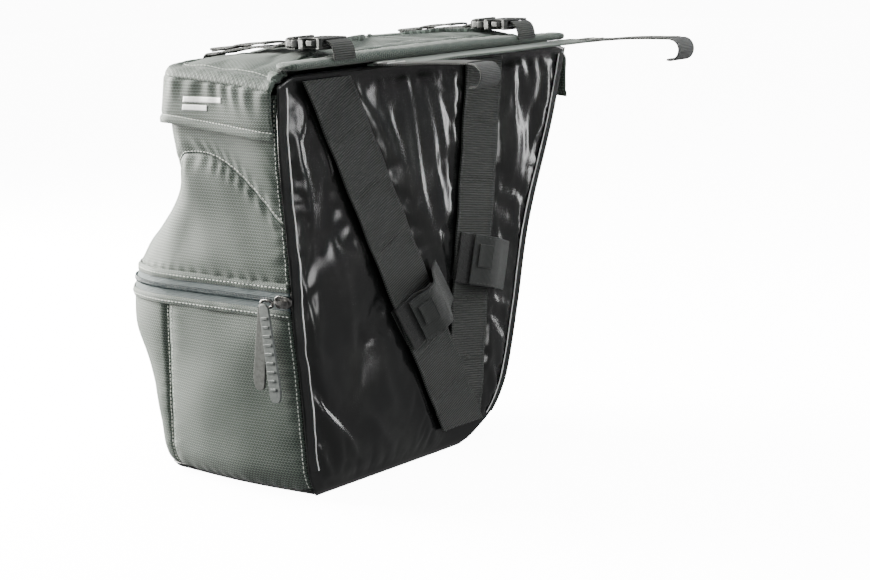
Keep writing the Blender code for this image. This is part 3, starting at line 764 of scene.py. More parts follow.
for name, low, high in (("lower", 155.0, 164.8), ("upper", 166.2, 176.0)):
    grid = wall_grid(zip_columns, low, high, 6, grow=-0.5)
    cloth_panel(f"zip_{name}_tape_cloth", grid, zip_tape, "bag", 0.8, cloth_uv(grid),
                [f"zip_tape_{name}"], flip=True)
for name, low, high, seed in (("lower", 150.5, 158.2, 31), ("upper", 172.6, 180.0, 32)):
    grid = wall_grid(zip_columns, low, high, 9, grow=0.0)
    across = np.linspace(0, math.pi, 9)[:, None]
    grid = grid - normals(grid) * (0.35 + 0.75 * np.sin(across) ** 0.7
                                   + 0.25 * swell(grid, 26, seed))[..., None]
    panels[f"zip_fold_{name}"] = (grid, -normals(grid), zip_columns)
    cloth_panel(f"zip_fold_{name}", grid, body_fabric, "bag", 1.0, cloth_uv(grid), flip=True)
sew_row(BAG_PALE, "zip_fold_lower", 0.4, pitch=4.2, fill=0.62, width=0.8, lift=0.25)
sew_row(BAG_PALE, "zip_fold_upper", 0.5, pitch=4.2, fill=0.62, width=0.8, lift=0.35)
COIL = ("zip_coil_turns", "bag", "zip_tape", coil_plastic)
for height, phase in ((164.9, 0), (166.3, 1)):
    line, outward = ring(height)
    run = run_along(line)
    count = int(run[-1] / 1.7)
    middle = (np.arange(count) + 0.5 * phase + 0.25) * 1.7
    place, up = at_runs(middle, run, line), at_runs(middle, run, outward)
    points, _ = grain()
    side = np.array([0, 0, 1.0])
    travel = np.cross(side, up)
    turns = (place[:, None] + up[:, None] * (points[None, :, 2:] * 1.9 + 0.35)
             + side * points[None, :, :1] * 3.0 + travel[:, None] * points[None, :, 1:2] * 1.35)
    THREAD_LINES.setdefault(COIL, []).append(turns)


# %% [markdown]
# ## The lid's skirt
# The skirt is a deep band of cloth, sewn to the lid's edge and turned up at its hem. Soft wrinkles
# run down from the tight seam at its top and fade towards the free hem.

# %% Lid shape and skirt
LID_RACK_EDGE, LID_OUTER_EDGE = 46.0, -78.0
LID_MIDDLE_Y, LID_HALF_LENGTH = 13.0, 198.0
SKIRT_PROUD = 6.5
HEM_AT_RACK, HEM_AT_CORNER = 293.0, 304.0
LID_LEVEL = 340.0


def lid_height(x, y):
    """Top of the lid: a crown across its width that falls away towards both ends."""
    w = np.clip((LID_RACK_EDGE - x) / (LID_RACK_EDGE - LID_OUTER_EDGE), 0, 1)
    v = np.clip(np.abs(y - LID_MIDDLE_Y) / LID_HALF_LENGTH, 0, 1)
    middle = 355 + 6 * np.sin(math.pi * np.clip(w * 1.1, 0, 1)) - 3 * w
    end = 334 + 11 * w**0.8
    return middle * (1 - v**5) + end * v**5


def skirt_grid(rows=30):
    """The skirt's outer points: it hangs from the lid's edge, and its last rows roll inwards."""
    columns = even_columns(0, 5, LID_LEVEL, PANEL_STEP)
    brim = wall(columns, np.full_like(columns, LID_LEVEL), SKIRT_PROUD)
    hem = HEM_AT_RACK + (HEM_AT_CORNER - HEM_AT_RACK) * np.clip(np.minimum(columns, 5 - columns), 0, 1)
    top = lid_height(brim[:, 0], brim[:, 1]) - 1.6
    grid = wall_grid(columns, hem, top, rows, SKIRT_PROUD)
    hangs = np.clip((columns - 3) * 2, 0, 1)
    grid[:, :, 1] += hangs * np.maximum(brim[:, 1] - grid[:, :, 1], 0)
    return grid, columns


skirt, skirt_columns = skirt_grid()
skirt_out = -normals(skirt)
skirt_up = lengths(skirt, 0)
skirt_down = skirt_up[-1:] - skirt_up
skirt_over = lengths(skirt, 1)
roll = np.clip(1 - skirt_down / 5.0, 0, 1)
hem_fold = 0.9 * ease(skirt_up - 3, 3.2) - 0.9 * ease(skirt_up - 7, 1.5)
gathers = (np.sin(skirt_over * 2 * math.pi / 17 + 2.4 * swell(skirt, 70, 11))
           * ease(skirt_down - 5, 13) * 0.75)
swing = swell(skirt * [1, 1, 0.35], 62, 12) * 1.1 * ease(skirt_down - 22, 26)
pucker = -2.2 * ease(skirt_over, 9) * ease(skirt_up - 5, 12)
skirt = skirt + skirt_out * (hem_fold + gathers + swing + pucker - 2.6 * roll**2)[..., None]
panels["lid_skirt"] = (skirt, skirt_out, skirt_columns)
cloth_panel("lid_skirt_cloth", skirt, body_fabric, "lid", 1.4, cloth_uv(skirt), ["lid_skirt"],
            flip=True)
LID_PALE = ("lid_stitches", "lid", "body_fabric", pale_thread)
sew_row(LID_PALE, "lid_skirt", 0, 7.0, pitch=3.4, width=0.85)


# %% [markdown]
# ## The lid's top
# The lid is a thin pad: cloth over foam, with a puffed border and a crowned middle. It is a closed
# loop of points that shrinks to the middle in rings. Air pressure in a short cloth simulation puffs
# it between its seams, which stay pinned.

# %% Padded lid top
def even_loop(points, count):
    """A closed line of points, read evenly."""
    closed = np.vstack([points, points[:1]])
    run = run_along(closed)
    places = np.linspace(0, run[-1], count, endpoint=False)
    return at_runs(places, run, closed)


brim_columns = np.linspace(0, 5, 500)
brim = wall(brim_columns, np.full_like(brim_columns, LID_LEVEL), SKIRT_PROUD - 0.6)[:, :2]
rack_line = [(57, 206), (46, 200), (46, -169), (57, -175)]
edge_loop = even_loop(np.vstack([brim, rack_line]), 380)
LID_CENTRE = np.array([-12.0, LID_MIDDLE_Y])
LID_RINGS = 48
inward = (np.linspace(0, 1, LID_RINGS) ** 1.35)[:, None, None]
flat = edge_loop[None] * (1 - inward) + LID_CENTRE * inward
flat[-1] = edge_loop * 0.012 + LID_CENTRE * 0.988
rim = np.linalg.norm(flat - edge_loop[None], axis=2)
BORDER = 15.0
STRAP_PLACES = {"near": -107.0, "far": 135.0}
crease = ease(rim - BORDER, 1.6)
puff = 1.9 * np.sin(math.pi * np.clip(rim / BORDER, 0, 1)) * (rim < BORDER)
drop = 2.6 * np.clip(1 - rim / 4.0, 0, 1) ** 2
lid_top = np.dstack([flat, lid_height(flat[..., 0], flat[..., 1])])
ripple = swell(lid_top * [1, 0.6, 0.2], 46, 21) * 0.55 + swell(lid_top, 19, 22) * 0.16
corner_fold = 1.6 * ease((lid_top[..., 0] + 62) - (lid_top[..., 1] + 165) * 0.55, 5) * ease(
    lid_top[..., 1] + 138, 34)
lid_top[..., 2] += puff - drop - 1.3 * crease + ripple * np.clip(rim / 12, 0.2, 1) + corner_fold - 0.6
strap_bed = sum(ease(lid_top[..., 1] - y, 15) for y in STRAP_PLACES.values()) * (lid_top[..., 0] < 15)
lid_top[..., 2] -= strap_bed * 1.0
held = (rim < 3.0) | (crease > 0.6) | (strap_bed > 0.5) | (rim > rim[-2])
open_loop = np.concatenate([lid_top, lid_top[:, :1]], axis=1)
held_loop = np.concatenate([held, held[:, :1]], axis=1)
settled = settle(open_loop, held_loop, pressure=3.0, cap=2.2, shrink=-0.01)
settled[:, -1] = settled[:, 0] = (settled[:, 0] + settled[:, -1]) / 2
lid_uv = settled[..., [1, 0]] * [-1.0, 1.0]


def close_loop(grid, uv, facing):
    """Points, faces and uv of a ring grid with its seam joined and its middle filled. facing is 1
    for a sheet that faces up, and -1 for one that faces down."""
    rows, columns = grid.shape[0], grid.shape[1] - 1
    points = grid[:, :-1].reshape(-1, 3)
    points = np.vstack([points, points[-columns:].mean(axis=0)])
    faces = [tuple(f) for f in grid_faces(rows, columns, flip=False, closed=True)]
    last = (rows - 1) * columns
    faces += [(last + c, last + (c + 1) % columns, rows * columns) for c in range(columns)]
    flat_uv = np.vstack([uv[:, :-1].reshape(-1, 2), uv[-1].mean(axis=0)[None]])
    a, b, c = points[list(faces[-1])]
    faces = faces if np.cross(b - a, c - a)[2] * facing > 0 else [face[::-1] for face in faces]
    return points, faces, flat_uv


points, faces, loop_uv = close_loop(settled, lid_uv, 1)
lid_pad = make_mesh("lid_top_pad", points, faces, body_fabric, "lid", loop_uv, ["lid_top"])
thicken(lid_pad, 3.0)
rows_at = np.array([np.interp(BORDER + 3, rim[:, k % rim.shape[1]], np.arange(LID_RINGS))
                    for k in range(settled.shape[1])])
border_line = sample(settled, rows_at, np.arange(settled.shape[1], dtype=float))
sew(LID_PALE, border_line, UPWARD, pitch=3.8, width=0.5)
print("lid top spans", np.round(settled.reshape(-1, 3).min(0)), np.round(settled.reshape(-1, 3).max(0)))


# %% Padded rack-side band
BAND_MIDDLE, BAND_HALF, BAND_LOW, BAND_HIGH = 58.4, 11.0, 346.6, 356.0
BAND_NEAR, BAND_FAR, BAND_SQUARENESS = -168, 200, 0.62
span = np.linspace(BAND_NEAR, BAND_FAR, 150)
sag = lid_height(np.full_like(span, LID_RACK_EDGE), span) - lid_height(LID_RACK_EDGE, LID_MIDDLE_Y)
tip = np.clip(np.minimum(span - BAND_NEAR, BAND_FAR - span) / 6.0, 0.02, 1) ** 0.5
angle = np.linspace(0, 2 * math.pi, 33)
across, upright = (signed_power(part, BAND_SQUARENESS) for part in (np.cos(angle), np.sin(angle)))
half_height = (BAND_HIGH - BAND_LOW + np.maximum(sag, -2.6)) / 2
band_x = BAND_MIDDLE + BAND_HALF * tip[:, None] * across
band_z = BAND_LOW + half_height[:, None] + half_height[:, None] * tip[:, None] * upright
band_grid = np.stack([band_x, np.broadcast_to(span[:, None], band_x.shape), band_z], axis=2)
over_top = np.clip(np.sin(angle), 0, 1)[None, :]
band_lift = (0.35 * swell(band_grid, 24, 41) - 0.8 * ease(band_grid[..., 0] - 52, 1.6)
             + 0.25 * np.sin(span[:, None] * 2 * math.pi / 11 + swell(band_grid, 40, 42)))
band_grid[..., 2] += over_top * band_lift
ends = band_grid.mean(axis=1)
capped = np.array([ends[[0]].repeat(33, 0), *band_grid, ends[[-1]].repeat(33, 0)])
band_uv = np.stack([np.broadcast_to(angle * 7, capped.shape[:2]), capped[..., 1]], axis=2)
band_points = capped[:, :-1].reshape(-1, 3)
band_faces = grid_faces(len(capped), 32, closed=True)
pad_band = make_mesh("lid_band_pad", band_points, band_faces, body_fabric, "lid",
                     band_uv[:, :-1].reshape(-1, 2), ["lid_band"])
for x_place in (50.0, 54.5):
    column = int(np.argmin(np.abs(band_grid[75, :, 0] - x_place) + 50 * (np.sin(angle) < 0)))
    sew(LID_PALE, band_grid[2:-2, column], UPWARD, pitch=3.6, width=0.7)


# %% [markdown]
# ## The coated back
# The back is one sheet of coated cloth over a stiff board. It is glued and sewn only at its edges
# and under the webbings, so the loose areas buckle into long upright folds. A fold is a ridge along
# a line. The folds are laid first, and a cloth simulation lets them settle between the seams.

# %% Back panel
WEBBINGS = {
    "vertical": ((81.5, 338.0), (35.5, 22.0), 62.1),
    "diagonal": ((-124.0, 338.0), (34.0, 22.0), 64.3),
}


def webbing_gap(y, z, name):
    """Distance from a webbing's middle line, across it."""
    top, foot, _ = WEBBINGS[name]
    along = np.array(foot) - np.array(top)
    along /= np.linalg.norm(along)
    return np.abs((y - top[0]) * along[1] - (z - top[1]) * along[0])


def fold(y, z, start, end, width, height):
    """A ridge along a line from start to end, sharp on one side, fading out at both tips."""
    start, end = np.array(start, float), np.array(end, float)
    reach = np.linalg.norm(end - start)
    along = (end - start) / reach
    t = ((y - start[0]) * along[0] + (z - start[1]) * along[1]) / reach
    bend = 3.5 * np.sin(t * 5 + start[0])
    off = (y - start[0]) * along[1] - (z - start[1]) * along[0] + bend
    profile = np.where(off > 0, 1 / (1 + (off / (1.5 * width)) ** 2), np.exp(-((off / width) ** 2)))
    return height * profile * np.clip(np.sin(math.pi * np.clip(t, 0, 1)), 0, 1) ** 0.7


FOLDS = [
    ((-160, 335), (-148, 215), 5.0, 1.7), ((-150, 338), (-152, 262), 3.5, 1.2),
    ((-140, 332), (-120, 250), 4.5, 1.2), ((-166, 250), (-153, 120), 4.0, 1.3),
    ((-150, 200), (-140, 70), 6.0, 1.1), ((-120, 215), (-95, 60), 7.0, 1.0),
    ((-152, 90), (-118, 22), 4.5, 1.7), ((-138, 62), (-92, 18), 4.0, 1.6),
    ((-156, 60), (-130, 12), 3.2, 1.4), ((-100, 60), (-52, 26), 5.0, 1.1),
    ((-80, 120), (-45, 40), 7.0, 1.0), ((-30, 90), (-2, 26), 5.0, 1.2),
    ((-58, 330), (-20, 205), 6.0, 1.3), ((-30, 336), (4, 190), 5.5, 1.5),
    ((-2, 334), (22, 170), 6.0, 1.4), ((18, 320), (30, 150), 5.0, 1.3),
    ((-84, 334), (-50, 260), 5.0, 1.1), ((40, 336), (44, 240), 5.0, 1.2),
    ((12, 200), (24, 90), 5.5, 1.4), ((104, 336), (98, 240), 5.0, 1.2),
    ((130, 338), (112, 210), 6.0, 1.6), ((158, 336), (128, 220), 6.0, 1.7),
    ((182, 334), (150, 236), 4.5, 1.7), ((112, 200), (92, 110), 6.0, 1.2),
    ((136, 210), (112, 140), 5.0, 1.2), ((86, 110), (66, 50), 5.0, 1.3),
    ((62, 110), (52, 44), 5.0, 1.0),
]
# The cloth stays flat where the vertical tie's leaf turns: a window by its hinge, leaned with it.
HINGE_PLACE, HINGE_LEAN, HINGE_HALF = (107.0, 151.0), (0.26, 0.97), (9.0, 26.0)
panel_z = np.linspace(0, PANEL_TOP, 108)[:, None]
panel_s = np.linspace(0, 1, 118)[None, :]
near_line, far_line = read(NEAR_EDGE, panel_z), read(FAR_EDGE, panel_z)
corner_drop = 7.0 * (ease(panel_s, 0.03) + 0.6 * ease(1 - panel_s, 0.025)) * (panel_z / PANEL_TOP) ** 12
panel_y = near_line + (far_line - near_line) * panel_s
panel_zz = panel_z + 0 * panel_s - corner_drop
edge_gap = np.minimum.reduce([panel_y - near_line, far_line - panel_y, panel_zz + 0 * panel_y,
                              PANEL_TOP - panel_zz])
tape_gap = np.minimum(webbing_gap(panel_y, panel_zz, "vertical"), webbing_gap(panel_y, panel_zz, "diagonal"))
free = (1 - ease(np.maximum(edge_gap - 7, 0), 7)) * (1 - ease(np.maximum(tape_gap - 22, 0), 6))
from_hinge_y, from_hinge_z = panel_y - HINGE_PLACE[0], panel_zz - HINGE_PLACE[1]
hinge_across = from_hinge_y * HINGE_LEAN[1] - from_hinge_z * HINGE_LEAN[0]
hinge_along = from_hinge_y * HINGE_LEAN[0] + from_hinge_z * HINGE_LEAN[1]
hinge_gap = np.maximum(np.abs(hinge_across) - HINGE_HALF[0], np.abs(hinge_along) - HINGE_HALF[1])
free *= np.clip(hinge_gap / 8.0, 0, 1)
flat_place = np.dstack([0 * panel_y, panel_y, panel_zz])
rise = sum(fold(panel_y, panel_zz, *f) for f in FOLDS) * 1.25
rise += 0.4 * swell(flat_place * [1, 1, 0.4], 36, 61) + 0.06 * swell(flat_place * [1, 1, 0.6], 15, 62)
rise += 0.9 * np.abs(swell(flat_place, 26, 63)) * ease(panel_zz, 42) * ease(panel_s, 0.45)
panel = np.dstack([BACK_FACE - bottom_roll(panel_zz) + free * rise - 0.9 * (1 - free), panel_y, panel_zz])
panel_held = (edge_gap < 11) | (tape_gap < 26) | (hinge_gap < 1)
panel = settle(panel[:, ::-1], panel_held[:, ::-1], pressure=0.6, cap=2.0, shrink=-0.012)
panel[..., 0] = np.where(panel_held[:, ::-1], np.minimum(panel[..., 0], BACK_FACE + 0.3),
                         np.minimum(panel[..., 0], BACK_FACE + 4.2))
cloth_panel("back_panel_cloth", panel, coated, "bag", 1.1, panel[..., 1:],
            ["back_panel"])

# %% Seam allowance, with a painted highlight on its bead
SIDE_LEVELS = np.linspace(24, 334, 130)
for name, stations, side, seed in (("near", NEAR_EDGE, 1, 71), ("far", FAR_EDGE, -1, 72)):
    edge = read(stations, SIDE_LEVELS)
    at = np.stack([0 * edge, edge, SIDE_LEVELS], 1)
    ragged = 0.8 * swell(at, 24, seed) + 0.4 * swell(at, 8, seed + 1)
    route = np.stack([BACK_FACE + 0.35 + 0.25 * ragged, edge + side * (4.6 + 0.35 * ragged), SIDE_LEVELS], 1)
    tape(f"seam_strip_{name}_cloth", route[::-1], (0, -1, 0), 8.6, 1.25, coated, "bag",
         [f"seam_strip_{name}"])
    # The bead is coloured white as a painted highlight, standing for the near lamp's reflection on the rolled
    # edge. Its width wavers so that the highlight breaks.
    swing = np.clip(0.5 + 0.45 * ragged, 0.25, 1.2)
    bead = np.stack([BACK_FACE + 1.35 + 0.25 * ragged, edge + side * (9.4 + 0.5 * ragged), SIDE_LEVELS], 1)
    width = (0.45 + 0.75 * swing)[::-1, None] * np.array([[0.0, -1.0, 0.0]])
    tape(f"seam_bead_painted_highlight_{name}", bead[::-1], width, 1.0, 0.9, print_and_painted_highlight, "bag")


# %% [markdown]
# ## Webbings and ties
# Two wide webbings take the load down the back. They are sewn across every 50 mm or so, and lie a
# little proud between those bar tacks. Each tie is a fuzzy leaf and a hook leaf that close round a
# rack tube.

# %% Webbings with bar tacks
WEB_WIDTH, WEB_THICK, TACK_PITCH = 50.0, 1.7, 52.0
BAG_DARK = ("webbing_tacks", "bag", "webbing", dark_thread)
for name, (top, foot, face) in WEBBINGS.items():
    t = np.linspace(0, 1, 150)[:, None]
    line = np.hstack([np.full((150, 1), face), np.array(top) * (1 - t) + np.array(foot) * t])
    run = np.linalg.norm(np.array(foot) - np.array(top))
    loose = np.sin(math.pi * t[:, 0] * run / TACK_PITCH) ** 2
    line[:, 0] += 0.25 + 0.9 * loose * (t[:, 0] < 0.94)
    travel = np.append(0, (np.array(foot) - np.array(top)) / run)
    spread = np.tile([0, -1.0 / abs(travel[2]), 0], (150, 1))
    tape(f"webbing_{name}_cloth", line, spread, WEB_WIDTH, WEB_THICK, webbing, "bag",
         [f"webbing_{name}"], curl=-0.35)
    level_across = np.cross(travel, [1.0, 0, 0])
    for distance in np.arange(TACK_PITCH, run - 20, TACK_PITCH):
        for shift in (-1.3, 1.3):
            centre = line[0] + travel * (distance + shift)
            places = centre + level_across * np.linspace(-22, 22, 40)[:, None]
            places[:, 0] = face + WEB_THICK + 0.25
            sew(BAG_DARK, places, RACKWARD, pitch=1.7, width=1.1, height=0.7)
    for side in (-22.3, 22.3):
        places = line + np.cross(travel, [1.0, 0, 0]) * side
        places[:, 0] += WEB_THICK - 0.1
        sew(BAG_DARK, places[4:-4], RACKWARD, pitch=3.4, width=0.6)

# %% Hook-and-loop ties
TIES = {"vertical": (68.0, 162.0, -15.0, 63.9, 36.0), "diagonal": (-13.0, 139.0, 32.0, 66.1, 30.0)}
TIE_LENGTH, TUBE_ROOM = 44.0, 6.6
for name, (y, z, tilt, floor_x, reach) in TIES.items():
    tilt = math.radians(tilt)
    along = np.array([0, math.sin(tilt), -math.cos(tilt)])
    across = np.array([0, math.cos(tilt), math.sin(tilt)])
    centre = np.array([0, y, z])
    crest = floor_x + 2 * TUBE_ROOM + 0.6

    def tie_route(points, steps):
        """A route across the tie, through (distance across, x) pairs."""
        return smooth_route([centre + across * b + np.array([x, 0, 0]) for b, x in points], steps)

    anchor = tie_route([(-34, 60.4), (0, 60.4), (reach - 1, 60.4)], 16)
    tape(f"tie_{name}_anchor_tape", anchor, along, TIE_LENGTH - 6, 1.2, loop_tape, "bag",
         [f"tie_{name}_anchor"])
    loop = tie_route([(-35, floor_x + 0.5), (-24, floor_x + 2.5), (-13, floor_x + 5.0),
                      (-TUBE_ROOM - 1.4, crest - 5.4), (-3, crest - 1.2), (3, crest - 0.9)], 46)
    tape(f"tie_{name}_loop_tape", loop, along, TIE_LENGTH, 1.9, loop_tape, "bag",
         [f"tie_{name}_loop_leaf"], curl=0.5)
    hook = tie_route([(-23, floor_x + 7.4), (-14, crest - 3.0), (-5, crest + 1.6), (4, crest + 2.0),
                      (TUBE_ROOM + 5, crest - 4), (reach - 10, floor_x + 3.5), (reach, floor_x - 0.4)], 60)
    body = f"tie_{name}_flap"
    tape(f"tie_{name}_hook_tape", hook, along, TIE_LENGTH, 1.5, hook_tape, body,
         [f"tie_{name}_hook_leaf"], curl=0.4)
    tongue = tie_route([(-19.5, floor_x + 11.7), (-13.5, crest - 0.4), (-7, crest + 3.0)], 20) - along * 4
    tape(f"tie_{name}_tongue_tape", tongue, along, 20, 1.5, hook_tape, body,
         [f"tie_{name}_tongue"])
    TIE_DARK = (f"tie_{name}_stitches", body, "hook_tape", dark_thread)
    travel = np.gradient(hook, axis=0)
    lift_out = np.cross(along, travel)
    lift_out /= np.linalg.norm(lift_out, axis=1)[:, None]
    for side in (-TIE_LENGTH / 2 + 2, TIE_LENGTH / 2 - 2):
        sew(TIE_DARK, hook + along * side + lift_out * 1.6, lift_out, pitch=3.2, width=0.6)


# %% [markdown]
# ## Closure straps and buckles
# Each strap comes up from the lid's rack side into a side-release buckle, runs over the lid, drops
# over the skirt and is sewn to the outer face. Its spare tail lies on top. A buckle is moulded in
# thin plates, so its halves are outlines given a thickness, with softly bevelled edges.

# %% Straps
STRAP_WIDTH, STRAP_THICK = 25.0, 1.7
BUCKLE_LEVEL = 365.0
for name, y in STRAP_PLACES.items():
    insert = f"buckle_{name}_insert"
    rise = smooth_route([(69.3, y, 351.6), (68.9, y, 357), (66.3, y, 363.3), (61.0, y, 366.2)], 24)
    tape(f"strap_{name}_rack_webbing", rise, SIDEWAYS, STRAP_WIDTH, STRAP_THICK, strap_webbing, "lid",
         [f"strap_{name}_rack_half"])
    over_x = np.linspace(2, -66, 10)
    spread = y + np.linspace(-STRAP_WIDTH / 2, STRAP_WIDTH / 2, 5)
    bed = np.array([lid_height(np.full(5, x), spread).max() for x in over_x]) + 1.4
    down = [(-73.5, 353.0), (-77.8, 345.5), (-79.8, 330), (-81.8, 306), (-78.5, 284), (-72.5, 264)]
    over = [(19.4, BUCKLE_LEVEL - 1.4), (11, 362.6)] + list(zip(over_x, bed))
    route = smooth_route([(x, y, z) for x, z in over + down], 150)
    tape(f"strap_{name}_lid_webbing", route, SIDEWAYS, STRAP_WIDTH, STRAP_THICK, strap_webbing, insert,
         [f"strap_{name}_lid_half"], curl=0.25)
    tail = smooth_route([(x, y, z + STRAP_THICK + 0.7) for x, z in zip(over_x[1:], bed[1:])], 80)
    wave = 0.45 * (1 + np.sin(np.linspace(0, 16, 80)))
    tail[:, 2] += wave
    tape(f"strap_{name}_tail_webbing", tail, SIDEWAYS, STRAP_WIDTH, STRAP_THICK, strap_webbing, insert,
         [f"strap_{name}_tail"], curl=0.3)
    tail_end = tail[-1] + np.array([1.5, 0, 1.0])
    hem_roll = smooth_route([tail_end + [6, 0, 0.6], tail_end + [0, 0, 0.9], tail_end + [-3.2, 0, 0.2]], 10)
    tape(f"strap_{name}_tail_hem", hem_roll, SIDEWAYS, STRAP_WIDTH + 0.3, 2.0, strap_webbing, insert)
    levels = np.linspace(255, 225, 24)
    face_x = wall(np.full(24, 2.5), levels)[:, 0]
    lie = np.stack([face_x - 1.0, np.full(24, y), levels + 0.9], 1)
    tape(f"strap_{name}_sewn_end", lie, SIDEWAYS, STRAP_WIDTH, STRAP_THICK, strap_webbing, "bag",
         [f"strap_{name}_anchor"])


# %% Buckles
def moulding(name, outline, low, high, body, material=plastic, axis=2, edge=0.7,
             crown=0.0, replaces=()):
    """A moulded plate: an outline in the plane across an axis, from low to high along it. Its top
    is crowned towards its middle line, and a Bevel modifier softens its edges."""
    outline = np.asarray(outline, float)
    area = (outline[:, 0] * np.roll(outline[:, 1], -1) - np.roll(outline[:, 0], -1) * outline[:, 1]).sum()
    facing = area if axis != 1 else -area
    outline = outline if facing > 0 else outline[::-1]
    size = len(outline)
    points = np.vstack([np.insert(outline, axis, low, axis=1), np.insert(outline, axis, high, axis=1)])
    middle = outline.mean(axis=0)
    reach = np.abs(outline[:, 1] - middle[1]).max()
    points[size:, axis] -= crown * (np.abs(outline[:, 1] - middle[1]) / reach) ** 2
    faces = [(c, (c + 1) % size, size + (c + 1) % size, size + c) for c in range(size)]
    faces += [tuple(range(size))[::-1], tuple(range(size, 2 * size))]
    obj = make_mesh(name, points, faces, material, body, replaces=replaces)
    obj.data.set_sharp_from_angle(angle=math.radians(40))
    bevel = obj.modifiers.new("soft_edge", "BEVEL")
    bevel.width, bevel.segments, bevel.limit_method = edge * MM, 3, "ANGLE"
    bevel.harden_normals = False
    return obj


def mirrored(half, y):
    """A closed outline from its right half, whose points are (x, distance from the middle)."""
    half = np.array(half, float)
    right, left = (np.stack([half[:, 0], y + side * half[:, 1]], 1) for side in (1, -1))
    return np.vstack([right, left[::-1]])


for name, y in STRAP_PLACES.items():
    insert, z = f"buckle_{name}_insert", BUCKLE_LEVEL
    shell = mirrored([(34, 14.2), (36, 16.3), (40.5, 16.5), (42, 12.6), (53, 12.2), (55, 16.3), (58.2, 16.5),
                      (60, 14.5)], y)
    moulding(f"buckle_{name}_socket_top", shell, z + 2.6, z + 5.0, "lid", crown=0.9, edge=0.8,
             replaces=[f"buckle_{name}_female"])
    moulding(f"buckle_{name}_socket_floor", shell, z - 5.0, z - 2.9, "lid", edge=0.7)
    for side, sign in (("left", -1), ("right", 1)):
        rail = [(55, y + sign * 12.6), (55, y + sign * 16.1), (58, y + sign * 16.3), (59.6, y + sign * 14.6),
                (59.6, y + sign * 12.6)]
        moulding(f"buckle_{name}_post_{side}", rail, z - 3.2, z + 2.9, "lid", edge=0.3)
        cheek = [(34.3, y + sign * 13.4), (34.6, y + sign * 15.4), (40.2, y + sign * 16.2),
                 (41, y + sign * 13.6)]
        moulding(f"buckle_{name}_cheek_{side}", cheek, z - 3.2, z + 2.9, "lid", edge=0.3)
        prong = [(34, y + sign * 9.6), (34, y + sign * 12.6), (41.6, y + sign * 12.9), (44, y + sign * 16.0),
                 (50, y + sign * 16.4), (52.6, y + sign * 13.2), (53, y + sign * 10.6), (45, y + sign * 10.8)]
        moulding(f"buckle_{name}_arm_{side}", prong, z - 2.3, z + 2.3, f"buckle_{name}_{side}_prong", edge=0.6,
                 replaces=[f"buckle_{name}_prong_{side}"])
    lintel = [(57, y - 12.4), (59.8, y - 12.4), (59.8, y + 12.4), (57, y + 12.4)]
    moulding(f"buckle_{name}_lintel", lintel, z - 2.9, z - 0.6, "lid", edge=0.5)
    head = mirrored([(33.5, 15.8), (31.0, 16.4), (27.5, 16.4), (27.0, 14.0)], y)
    moulding(f"buckle_{name}_insert_head", head, z - 3.5, z + 3.5, insert, crown=0.9, edge=0.8,
             replaces=[f"buckle_{name}_male"])
    for side, sign in (("left", -1), ("right", 1)):
        cheek = [(27.6, y + sign * 13.4), (27.6, y + sign * 16.3), (22, y + sign * 16.0),
                 (20.2, y + sign * 14.4), (20.2, y + sign * 13.4)]
        moulding(f"buckle_{name}_insert_cheek_{side}", cheek, z - 3.0, z + 3.0, insert, edge=0.6)
    bars = {"front": (20.0, 22.4, -2.9, 0.6), "back": (24.3, 26.4, -0.6, 2.8)}
    for bar, (start, end, low, high) in bars.items():
        shape = [(start, y - 14), (end, y - 14), (end, y + 14), (start, y + 14)]
        moulding(f"buckle_{name}_bar_{bar}", shape, z + low, z + high, insert, edge=0.6)
    wrap = smooth_route([(28.5, y, z - 3.9), (23, y, z - 4.2), (19.0, y, z - 2.4), (19.2, y, z + 2.0),
                         (23.6, y, z + 3.4), (26.8, y, z + 3.2)], 26)
    tape(f"strap_{name}_buckle_wrap", wrap[::-1], SIDEWAYS, STRAP_WIDTH, 1.5, strap_webbing, insert)


# %% [markdown]
# ## Zip slider and its pull
# The slider is a cast body with a bridge. A flat link hangs from the bridge, and a moulded pull
# folds through the link, so it shows two leaves of unequal length. The pull carries plain ribs.

# %% Slider, link and pull
def off_corner(side, corner, radius):
    """The point radius away from each corner towards a side, or 0.45 of the side if that is less."""
    reach = np.linalg.norm(side - corner, axis=1)[:, None]
    return corner + (side - corner) / reach * np.minimum(radius, reach * 0.45)


def rounded(outline, steps=6, radius=2.0):
    """An outline whose corners are cut by arcs, each a quadratic curve through the corner."""
    outline = np.asarray(outline, float)
    before, after = np.roll(outline, 1, 0), np.roll(outline, -1, 0)
    t = np.linspace(0, 1, steps)[None, :, None]
    start, end = (off_corner(side, outline, radius)[:, None] for side in (before, after))
    return ((1 - t) ** 2 * start + 2 * t * (1 - t) * outline[:, None] + t**2 * end).reshape(-1, 2)


slider = rounded([(44.5, 162), (48, 160.2), (58, 160.8), (61, 163), (61, 168), (58, 170.2), (48, 170.8),
                  (44.5, 169)], radius=1.6)
moulding("zip_slider_body", slider, -173.6, -170.9, "zip_runner", nickel, axis=1, edge=0.5,
         replaces=["zip_slider"])
bridge = smooth_route([(58.5, -173.4, 165.5), (57, -175.0, 165.5), (50, -175.4, 165.5), (46, -174.6, 165.5),
                       (45, -173.2, 165.5)], 18)
tape("zip_slider_bridge", bridge, (0, 0, 1), 3.4, 1.1, nickel, "zip_runner")
link_mid, link_half, hole = np.array([36.6, 163.2]), np.array([7.6, 3.7]), np.array([5.0, 1.7])
turn = np.linspace(0, 2 * math.pi, 40, endpoint=False)
oval = np.stack([signed_power(np.cos(turn), 0.7), signed_power(np.sin(turn), 0.8)], 1)
ring_path = np.insert(link_mid + oval * (link_half + hole) / 2, 1, -174.4, axis=1)
angle = np.linspace(0, 2 * math.pi, 8, endpoint=False)
radial = np.insert(oval / np.linalg.norm(oval, axis=1)[:, None], 1, 0.0, axis=1)
tube = (ring_path[:, None] + radial[:, None] * np.cos(angle)[None, :, None] * 1.25
        + np.array([0, 1.0, 0]) * np.sin(angle)[None, :, None] * 0.85)
count, size = tube.shape[:2]
